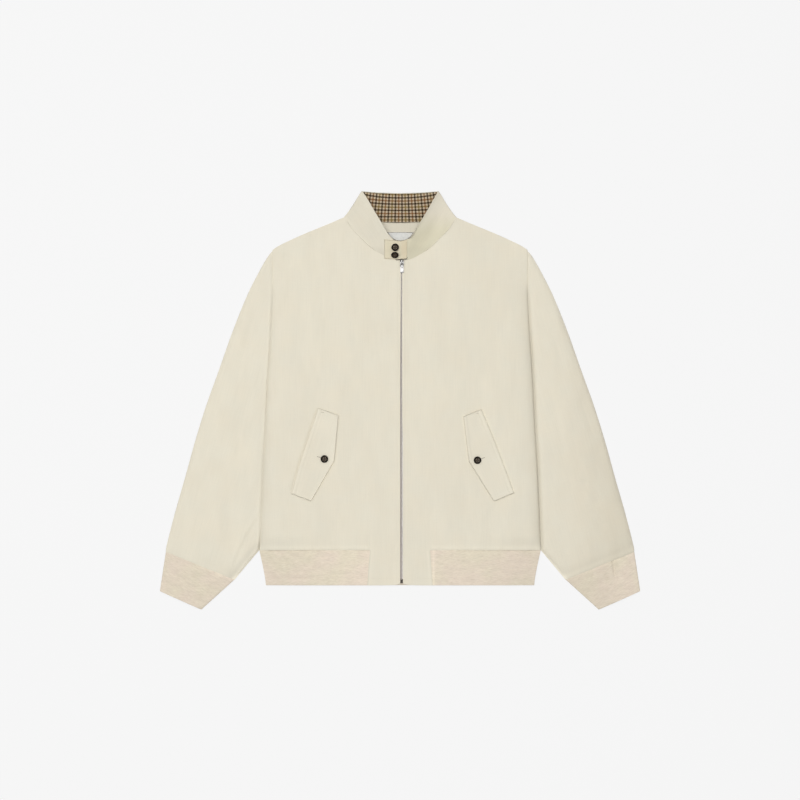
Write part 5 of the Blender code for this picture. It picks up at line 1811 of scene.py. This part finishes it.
def label_overlock(overlock):
    """Dense stitches over the label's edge, all the way round."""
    arc = label_outline(inset=LABEL_SEWN)
    top_y = np.full(30, LABEL_TOP_Y - LABEL_SEWN)
    top = np.stack([np.linspace(arc[-1, 0], arc[0, 0], 30), top_y], -1)
    ring = np.concatenate([arc, top])
    path = raised(ring, np.full(len(ring), LABEL_LEVEL + LABEL_WALL))
    sizes = {"pitch": 0.7, "length": 1.7, "thickness": 0.45, "turn": 70.0}
    stitches("label_overlock", [path], overlock, "label", **sizes)


# Buttons


def button_mesh():
    """Four-hole button turned about Z with its back at Z = 0: a rounded rim round a dished middle."""
    radius = BUTTON_DIAMETER / 2
    top = BUTTON_THICKNESS
    profile = [
        (0.0, 2.15), (2.6, 2.15), (3.9, 2.2), (4.5, 2.35), (4.85, 2.75), (5.2, top - 0.03),
        (5.7, top), (6.3, top - 0.08), (6.75, top - 0.45), (radius, top - 1.0), (6.9, 1.3),
        (6.5, 0.55), (BUTTON_FOOT * radius, 0.12), (5.4, 0.0), (0.0, 0.0),
    ]
    bm = bmesh.new()
    points = [bm.verts.new((x * MM, 0, z * MM)) for x, z in profile]
    for start, end in zip(points, points[1:]):
        bm.edges.new((start, end))
    whole_turn = {"axis": (0, 0, 1), "cent": (0, 0, 0), "angle": 2 * math.pi}
    bmesh.ops.spin(bm, geom=[*bm.verts, *bm.edges], steps=56, use_merge=True, **whole_turn)
    bmesh.ops.remove_doubles(bm, verts=bm.verts, dist=0.000001)
    bmesh.ops.recalc_face_normals(bm, faces=bm.faces)
    layer = bm.loops.layers.uv.new("grain")
    for face in bm.faces:
        for loop in face.loops:
            loop[layer].uv = loop.vert.co.xy
    return from_bmesh("button_blank", bm)


def drill_mesh():
    """The four round bars that cut a button's holes."""
    bm = bmesh.new()
    size = {"radius1": HOLE_DIAMETER / 2 * MM, "radius2": HOLE_DIAMETER / 2 * MM}
    for x_sign, y_sign in ((1, 1), (-1, 1), (-1, -1), (1, -1)):
        centre = Vector((x_sign * HOLE_SPREAD, y_sign * HOLE_SPREAD, BUTTON_THICKNESS / 2)) * MM
        there = Matrix.Translation(centre)
        depth = 2 * BUTTON_THICKNESS * MM
        bmesh.ops.create_cone(bm, cap_ends=True, segments=20, depth=depth, matrix=there, **size)
    return from_bmesh("button_drill", bm)


def drilled_button(material):
    """The finished button as a mesh that each button copies."""
    blank = show("button_blank", button_mesh())
    drill = show("button_drill", drill_mesh())
    cut = blank.modifiers.new("holes", "BOOLEAN")
    cut.operation = "DIFFERENCE"
    cut.object = drill
    mesh = settle(blank).data
    mesh.materials.clear()
    mesh.materials.append(material)
    mesh.shade_smooth()
    mesh.set_sharp_from_angle(angle=math.radians(40))
    for obj in (blank, drill):
        bpy.data.objects.remove(obj)
    return mesh


def sew_button(name, blank, x, y, level, lean, horn_thread):
    """A button at its place with crossed threads through its holes."""
    turn = math.radians(lean)
    lift = BUTTON_FOOT * BUTTON_DIAMETER / 2 * math.sin(turn)
    matrix = Matrix.Translation(Vector((x, y, level + lift)) * MM) @ Matrix.Rotation(turn, 4, "X")
    mesh = blank.copy()
    mesh.transform(matrix)
    TRIM.append((show(f"{name}_horn", mesh), [name], "button"))
    bars = []
    reach = HOLE_SPREAD
    for offset in (-BUTTON_THREAD_GAP / 2, BUTTON_THREAD_GAP / 2):
        bars.append([(-reach, -reach + offset), (reach, reach + offset)])
        bars.append([(-reach, reach + offset), (reach, -reach + offset)])
    tubes = [
        thread_bar(start, end, BUTTON_THREAD_LEVEL + BUTTON_THREAD_STEP * layer)
        for layer, (start, end) in enumerate(bars)
    ]
    mesh = welded(f"{name}_thread", tubes, outwards=False)
    mesh.transform(matrix)
    mesh.shade_smooth()
    TRIM.append((place(f"{name}_thread", mesh, horn_thread), [], "button"))


def thread_bar(start, end, height, radius=0.2):
    """Thread that comes up from one hole, crosses and goes down the other."""
    (x0, y0), (x1, y1) = start, end
    route = []
    for share in np.linspace(0, 1, 13):
        drop = -1.3 * max(abs(2 * share - 1) - 0.8, 0.0) / 0.2
        route.append((x0 + (x1 - x0) * share, y0 + (y1 - y0) * share, height + drop))
    return tube_mesh("thread_bar", route, radius, 2)


def curve_mesh(curve, routes, closed):
    """Mesh of a curve through points in millimetres, its caps and doubles merged."""
    for route in routes:
        spline = curve.splines.new("POLY")
        spline.points.add(len(route) - 1)
        for point, place_of in zip(spline.points, route):
            x, y, z = (*place_of, 0.0)[:3]
            point.co = (x * MM, y * MM, z * MM, 1.0)
        spline.use_cyclic_u = closed
    obj = show(curve.name, curve)
    bpy.context.view_layer.update()
    mesh = bpy.data.meshes.new_from_object(obj.evaluated_get(bpy.context.evaluated_depsgraph_get()))
    bpy.data.objects.remove(obj)
    return welded(curve.name, [mesh], merge=0.000002, outwards=closed)


def tube_mesh(name, route, radius, resolution):
    """Round tube along a route, with filled caps."""
    curve = bpy.data.curves.new(name, "CURVE")
    curve.dimensions = "3D"
    curve.bevel_depth = radius * MM
    curve.bevel_resolution = resolution
    curve.use_fill_caps = True
    return curve_mesh(curve, [route], closed=False)


# Zip


def flat_mesh(name, outlines, low, high, bevel=0.12):
    """Plate between two levels with rounded edges; the first outline is its edge, the rest holes."""
    curve = bpy.data.curves.new(name, "CURVE")
    curve.dimensions = "2D"
    curve.fill_mode = "BOTH"
    curve.extrude = ((high - low) / 2 - bevel) * MM
    curve.bevel_depth = bevel * MM
    curve.bevel_resolution = 2
    curve.offset = -bevel * MM
    mesh = curve_mesh(curve, outlines, closed=True)
    mesh.transform(Matrix.Translation((0, 0, (low + high) / 2 * MM)))
    return mesh


def arc(x, y, radius, degrees):
    return [(x + radius * math.cos(turn), y + radius * math.sin(turn)) for turn in np.radians(degrees)]


def both_sides(right):
    """An outline's right half and its mirror image, round the middle of the zip."""
    return moved([*right, *((-x, y) for x, y in right[::-1])], x=ZIP_X)


def joined_piece(name, meshes, material, nodes, slot, body="jacket"):
    whole = welded(name, meshes, outwards=False)
    whole.shade_smooth()
    whole.set_sharp_from_angle(angle=math.radians(35))
    piece = place(name, whole, material)
    piece["body"] = body
    TRIM.append((piece, nodes, slot))


def tape(side, material):
    inner = CHAIN_WIDTH / 2 - 1.2
    outer = CHAIN_WIDTH / 2 + SEAM + TAPE_WIDTH
    across = inner + (outer - inner) * graded(outer - inner, step=2.0)
    x, y = np.meshgrid(across, np.linspace(TAPE_HEM_Y, TAPE_TOP_Y, 200))
    own = np.stack([x, y], -1)
    heights = TAPE_LEVEL + TAPE_WALL - 0.25 - 0.2 * band(x, inner, 2.0)
    heights += 0.12 * soft_noise(own, (9, 40), 71)
    plan = on_side(side, own) + np.array([ZIP_X, 0.0])
    laid = (["back_cloth"], "zip_tape", "weave")
    sheet_piece(f"zip_tape_{side}", plan, for_side(side, heights), 0.6, material, *laid)


def tooth_mesh():
    """One metal tooth: legs round the tape's cord and a rounded head towards the other side."""
    lower = [(-0.55, -0.62), (0.3, -0.62), (1.35, -0.52), (1.75, -0.3)]
    outline = [*lower, *((x, -y) for x, y in lower[::-1]), (-0.75, 0.4), (-0.75, -0.4)]
    return flat_mesh("zip_tooth", [outline], -0.85, 0.85, bevel=0.18)


def teeth_tree():
    """Geometry Nodes: a tooth at every pitch along a straight line, facing across it."""
    inputs = {"Line": "Geometry", "Pitch": "Float", "Turn": "Float", "Tooth": "Object", "Metal": "Material"}
    tree, given, add = node_tree("zip_teeth", inputs)
    copies = add(
        "GeometryNodeInstanceOnPoints",
        Points=spaced_points(add, given["Line"], given["Pitch"]),
        Instance=add("GeometryNodeObjectInfo", Object=given["Tooth"])["Geometry"],
        Rotation=add("FunctionNodeAxisAngleToRotation", Axis=(0, 0, 1), Angle=given["Turn"]),
    )
    return finish_tree(tree, add, copies, given["Metal"])


def zip_end_cord(material):
    """Dark cord along the tab's lower edge that paints the shadow in the gap beneath it."""
    plan = Line(TAB_SHADOW_CORD_PATH).at(np.linspace(0, 1, 40))
    route = [tuple(point) for point in raised(plan, tab_height(plan), -0.25)]
    joined_piece("zip_end_cord", [tube_mesh("cord", route, 0.5, 3)], material, [], "zip_tape")


def zip_teeth(materials):
    """Two rows of teeth that mesh, each half a pitch from the other."""
    tree = teeth_tree()
    tooth = show("zip_tooth", tooth_mesh())
    rows = []
    for side, shift, material in zip(SIDES, (0.0, TOOTH_PITCH / 2), materials):
        x = ZIP_X + SIGN[side] * TOOTH_ROW_X
        ends = [(x, y + shift, TOOTH_ROW_Z) for y in (CHAIN_BOTTOM_Y + 1, CHAIN_TOP_Y - 4)]
        row = show(f"zip_teeth_{side}", path_mesh("teeth_line", [ends]))
        turn = math.pi if side == "left" else 0.0
        values = {"Pitch": TOOTH_PITCH * MM, "Turn": turn, "Tooth": tooth, "Metal": material}
        rows.append((side, run_tree(row, tree, values).data, material))
        bpy.data.objects.remove(row)
    bpy.data.objects.remove(tooth)
    for side, mesh, material in rows:
        nodes = ["zip_chain"] if side == "left" else []
        joined_piece(f"zip_teeth_{side}_row", [mesh], material, nodes, "zip_metal")


def bottom_box(material):
    half = CHAIN_WIDTH / 2
    top_y = CHAIN_BOTTOM_Y - SEAM
    low, high = TAPE_LEVEL, TAPE_LEVEL + CHAIN_HEIGHT + SLIDER_ROOM
    end_y = top_y - BOX_LENGTH
    cut = 0.6  # off each corner
    right = [(half - cut, end_y), (half, end_y + cut), (half, top_y - cut), (half - cut, top_y)]
    body = flat_mesh("zip_box_body", [both_sides(right)], low, high, bevel=0.3)
    joined_piece("zip_box_metal", [body], material, ["zip_box"], "zip_metal")


def shield():
    """Outline of the slider's wings, notched between them at the top."""
    half = SLIDER_WIDTH / 2
    return both_sides([
        (0.78 * half, SLIDER_BOTTOM_Y),
        (0.86 * half, SLIDER_BOTTOM_Y + 3),
        (half, SLIDER_SHOULDER_Y - 0.8),
        (half, SLIDER_SHOULDER_Y + 0.8),
        (0.8 * half, SLIDER_TOP_Y),
        (0.3 * half, SLIDER_TOP_Y - 0.2),
        (0.0, SLIDER_TOP_Y - 0.9),
    ])


def slider(material, arch_material, painted_shade_metal):
    """Two wings joined by a post, with an arch that holds the pull's bar and two dark bars of painted shade.
    """
    upper_low = TAPE_LEVEL + CHAIN_HEIGHT + SLIDER_ROOM
    lower_high = TAPE_LEVEL - SLIDER_ROOM
    post = both_sides([(0.8, SLIDER_SHOULDER_Y + 0.3), (0.8, SLIDER_TOP_Y - 0.6)])
    meshes = [
        flat_mesh("upper_wing", [shield()], upper_low, upper_low + UPPER_WING, bevel=0.25),
        flat_mesh("lower_wing", [shield()], lower_high - LOWER_WING, lower_high, bevel=0.2),
        flat_mesh("post", [post], lower_high - 0.3, upper_low + 0.3, bevel=0.1),
    ]
    top = upper_low + UPPER_WING
    shade_bars = []
    for high_x, low_x in SLIDER_SHADE_BARS:
        ends = ((high_x, SLIDER_TOP_Y - 0.4), (low_x, SLIDER_SHOULDER_Y + 0.3))
        route = [(x, y, top + 0.1) for x, y in ends]
        shade_bars.append(tube_mesh("groove", route, 0.75, 3))
    joined_piece("zip_slider_arch", [arch(top - 0.2)], arch_material, [], "zip_metal")
    joined_piece("zip_slider_grooves", shade_bars, painted_shade_metal, [], "zip_metal")
    joined_piece("zip_slider_metal", meshes, material, ["zip_slider"], "zip_metal")


def squared_off(wave):
    """Values of a sine or cosine pushed out towards a square wave's."""
    return np.copysign(np.abs(wave) ** 0.6, wave)


def arch(foot_z):
    """Rounded strap that runs along the zip over the pull's bar."""
    start, end = PIVOT_Y + ARCH_FEET[0], PIVOT_Y + ARCH_FEET[1]
    roof = PIVOT_Z + (ARCH_ROOF + PULL_BAR / 2 + ARCH_ROOM) / 2
    thick = (ARCH_ROOF - PULL_BAR / 2 - ARCH_ROOM) / 2
    along = np.linspace(0, math.pi, 17)
    y = (start + end) / 2 - (end - start) / 2 * np.cos(along)
    z = foot_z + (roof - foot_z) * np.sin(along) ** 0.45
    route = np.stack([y, z], -1)
    padded = np.concatenate([route[:1], route, route[-1:]])
    ahead = padded[2:] - padded[:-2]
    normals = ahead[:, ::-1] * (-1, 1) / np.linalg.norm(ahead, axis=1, keepdims=True)
    turns = np.arange(12) * math.tau / 12
    x = np.broadcast_to(ZIP_X + ARCH_WIDTH / 2 * squared_off(np.cos(turns)), (17, 12))
    out = thick * squared_off(np.sin(turns))[:, None]
    points = np.concatenate([x[..., None], route[:, None] + normals[:, None] * out], -1)
    bm = bmesh.new()
    rings = [[bm.verts.new(point) for point in ring] for ring in points * MM]
    for ring, following in zip(rings, rings[1:]):
        for corner in range(12):
            after = (corner + 1) % 12
            bm.faces.new((ring[corner], ring[after], following[after], following[corner]))
    bm.faces.new(rings[0])
    bm.faces.new(rings[-1])
    bmesh.ops.recalc_face_normals(bm, faces=bm.faces)
    return from_bmesh("arch", bm)


def pull(material):
    """Pull tab: a plate with a hole and two arms to the bar that turns in the arch."""
    inner = ARCH_WIDTH / 2 + SEAM
    neck = inner + ARM_WIDTH
    half = PULL_WIDTH / 2
    shoulder = PIVOT_Y - ARM_LENGTH
    corner = 1.2
    corner_round = arc(half - corner, PULL_END_Y + corner, corner, np.linspace(270, 360, 6))
    shoulders = [(half, shoulder - 0.8), (neck, shoulder + 0.1), (neck, PIVOT_Y + 0.2)]
    edge = both_sides([*corner_round, *shoulders])
    window = both_sides([(inner, shoulder + 0.6), (inner, PIVOT_Y - 0.5)])
    hole = arc(ZIP_X, shoulder - 2.6, 1.0, np.arange(0, 360, 18))
    radius = PULL_BAR / 2
    plate = flat_mesh("pull_plate", [edge, window, hole], PIVOT_Z - radius, PIVOT_Z + radius, bevel=0.15)
    bar_ends = [(ZIP_X - neck, PIVOT_Y, PIVOT_Z), (ZIP_X + neck, PIVOT_Y, PIVOT_Z)]
    bar = tube_mesh("pull_bar_tube", bar_ends, radius, 4)
    joined_piece("zip_pull_metal", [plate, bar], material, ["zip_pull"], "zip_metal", body="pull")


# Stage


FLOOR_GLOW = 0.80
CAMERA_PLACE = (-0.0001, 0.0004, 4.0)
CAMERA_LENS = 97.3
SENSOR = 36.0
WORLD_STRENGTH = 0.38
LAMPS = [  # name, kind, where it comes from, side in metres or spread in degrees, strength
    ("key", "AREA", (-2.2, 0.6, 3.1), 1.5, 25.0),
    ("window", "SUN", (0.1, 1.9, 3.0), 24.0, 0.38),
    ("overhead", "AREA", (0.0, 0.2, 4.4), 2.2, 83.0),
]


def stand(data, place_of):
    """A camera or lamp at its place."""
    obj = bpy.data.objects.new(data.name, data)
    obj.location = place_of
    bpy.context.scene.collection.objects.link(obj)
    return obj


def lay_floor():
    bpy.ops.mesh.primitive_plane_add(size=14)
    floor = bpy.context.object
    floor.name = "floor"
    floor.data.materials.append(floor_paper())


def set_camera():
    data = bpy.data.cameras.new("camera")
    data.sensor_width = SENSOR
    data.lens = CAMERA_LENS
    data.clip_end = 30.0
    bpy.context.scene.camera = stand(data, CAMERA_PLACE)


def lamp(name, kind, place_of, spread, strength):
    data = bpy.data.lights.new(name, kind)
    data.energy = strength
    if kind == "SUN":
        data.angle = math.radians(spread)
    else:
        data.shape = "SQUARE"
        data.size = spread
    stand(data, place_of).rotation_euler = (-Vector(place_of)).to_track_quat("-Z", "Y").to_euler()


def stage():
    lay_floor()
    set_camera()
    world = bpy.data.worlds.new("studio")
    bpy.context.scene.world = world
    world.use_nodes = True
    background = world.node_tree.nodes["Background"]
    background.inputs["Color"].default_value = (1.0, 1.0, 1.0, 1.0)
    background.inputs["Strength"].default_value = WORLD_STRENGTH
    for row in LAMPS:
        lamp(*row)
    bpy.context.scene.view_settings.view_transform = "Standard"


# Dressing


COLLAR_PAINTED_SHADE = [(0.262, (0.90, 0.90, 0.82)), (0.315, (0.92, 0.92, 0.85)), (0.345, (0.99, 0.985, 0.985))]
SLEEVE_PAINTED_FALLOFF = [(0.29, (1.0, 1.0, 1.0)), (0.333, (0.965, 0.957, 0.95)), (0.40, (0.91, 0.90, 0.885))]
TAB_PAINTED_SHADE = [(0.0, (0.95, 0.94, 0.93)), (0.006, (0.94, 0.90, 0.86))]


def body_and_ribs(twill, knit):
    # The left sleeve's cloth is painted darker the further it lies out from the body: a painted falloff of
    # the light.
    sleeve_cloth = {"right": twill, "left": shell_cloth("sleeve_cloth_left", painted_shade_axis=(0, SLEEVE_PAINTED_FALLOFF))}
    collar_cloth = {
        "right": shell_cloth("collar_cloth_right", scaled(SHELL_COLOUR, 0.95)),
        # The left collar's cloth is painted darker and greener towards its lower end: painted shade inside
        # the collar band.
        "left": shell_cloth("collar_cloth_left", painted_shade_axis=(1, COLLAR_PAINTED_SHADE)),
    }
    back(twill)
    hem_rib_back(knit)
    for side in SIDES:
        sleeve(side, sleeve_cloth[side])
        cuff(side, knit)
        front(side, twill)
        hem_rib_front(side, knit)
        collar_front(side, collar_cloth[side])
        pocket_flap(side, twill)


def collar_and_label(twill):
    collar_back(twill)
    collar_inside(check_lining())
    # The facing's cloth is a darker copy of the shell: painted shade inside the collar.
    facing(shell_cloth("facing_cloth", scaled(SHELL_COLOUR, 0.89)))
    label(label_satin())
    # The tab's cloth is set darker and yellower than the shell, darker again towards +X: painted shade on
    # its down-facing slope.
    tab(shell_cloth("tab_cloth", (0.750, 0.690, 0.520), painted_shade_axis=(0, TAB_PAINTED_SHADE)))


def buttonhole_and_bartack(side, slit_thread, tack_thread):
    """The slit before a flap's button and the tack at its seam's end, as dense short stitches."""
    for name, route, colour in (
        ("buttonhole", [(FLAP_BUTTON[0], 24.0), (FLAP_BUTTON[0], 32.0)], slit_thread),
        ("bartack", [(5.5, 5.5), (4.5, 10.0)], tack_thread),
    ):
        row = Line(route, smooth=False).at(np.linspace(0, 1, 12))
        path = flap_path(side, row, np.full(12, 5.0))
        stitches(f"flap_{name}_{side}", [path], colour, "shell", 0.55, 1.1, 0.5, turn=80.0)


def tapes_and_stitching(sewing):
    tape_cloth = zip_tape_cloth()
    slit_thread = thread("buttonhole_thread", (0.15, 0.125, 0.095))
    tack_thread = thread("bartack_thread", (0.36, 0.32, 0.25))
    for side in SIDES:
        tape(side, tape_cloth)
        stitches(f"zip_stitching_{side}", front_seam_paths(side), sewing, "shell")
        stitches(f"flap_stitching_{side}", flap_paths(side), sewing, "shell")
        buttonhole_and_bartack(side, slit_thread, tack_thread)
    label_overlock(thread("overlock_thread", (0.30, 0.27, 0.24)))
    stitches("tab_stitching", tab_paths(), sewing, "shell")
    stitches("rib_stitching", RIB_ROWS, thread("rib_thread", (0.70, 0.61, 0.50)), "rib")


def buttons():
    dark_thread = thread("button_thread", (0.045, 0.034, 0.024))
    blank = drilled_button(horn())
    for name, x, y, lean in TAB_BUTTONS:
        level = tab_height(np.array([x, y])) + SEAM
        sew_button(name, blank, x, y, float(level), lean, dark_thread)
    for side in SIDES:
        spot = on_flap(side, FLAP_BUTTON)
        level = flap_height(side, spot, *FLAP_BUTTON, 16.0) + SEAM
        sew_button(f"flap_button_{side}", blank, *spot, float(level), 0.0, dark_thread)


def zip_pieces():
    dark_metal = metal("tarnished_nickel", (0.07, 0.062, 0.055), 0.5)
    pale_teeth = metal("teeth_nickel", (0.72, 0.69, 0.67), 0.45)
    # The right row of teeth gets a darker copy of the metal: painted shade under the right front's edge.
    shaded_teeth = metal("teeth_shaded", (0.50, 0.46, 0.445), 0.5)
    zip_teeth((pale_teeth, shaded_teeth))
    zip_end_cord(thread("zip_end_cord", (0.05, 0.035, 0.025)))
    bottom_box(dark_metal)
    # The arch is painted dark below its top as painted shade; the pull is painted dark at its end as painted
    # shadow, and above its arms' end as painted shade.
    arch_nickel = metal("arch_nickel", (0.40, 0.39, 0.38), 0.5, shadow_below_y=0.2545)
    slider(metal("slider_nickel", (0.52, 0.515, 0.51), 0.45), arch_nickel, dark_metal)
    pull(metal("zip_nickel", (0.50, 0.495, 0.49), 0.45, shadow_below_y=0.2370, shade_above_y=0.2482))


def dress():
    twill = shell_cloth()
    body_and_ribs(twill, rib_knit())
    collar_and_label(twill)
    tapes_and_stitching(thread("sewing_thread", THREAD_COLOUR))
    buttons()
    zip_pieces()


def attach():
    """Every piece rides on its body and stands for its solids."""
    for piece, nodes, slot, flat, area, rests_on in CLOTH:
        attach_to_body(piece, "jacket")
        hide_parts(*nodes)
    for piece, nodes, slot in TRIM:
        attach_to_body(piece, piece["body"])
        if nodes:
            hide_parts(*nodes)


JACKET = collection("harrington_jacket_looks")
STITCH_TREE = stitch_tree()
dress()
stage()
attach()
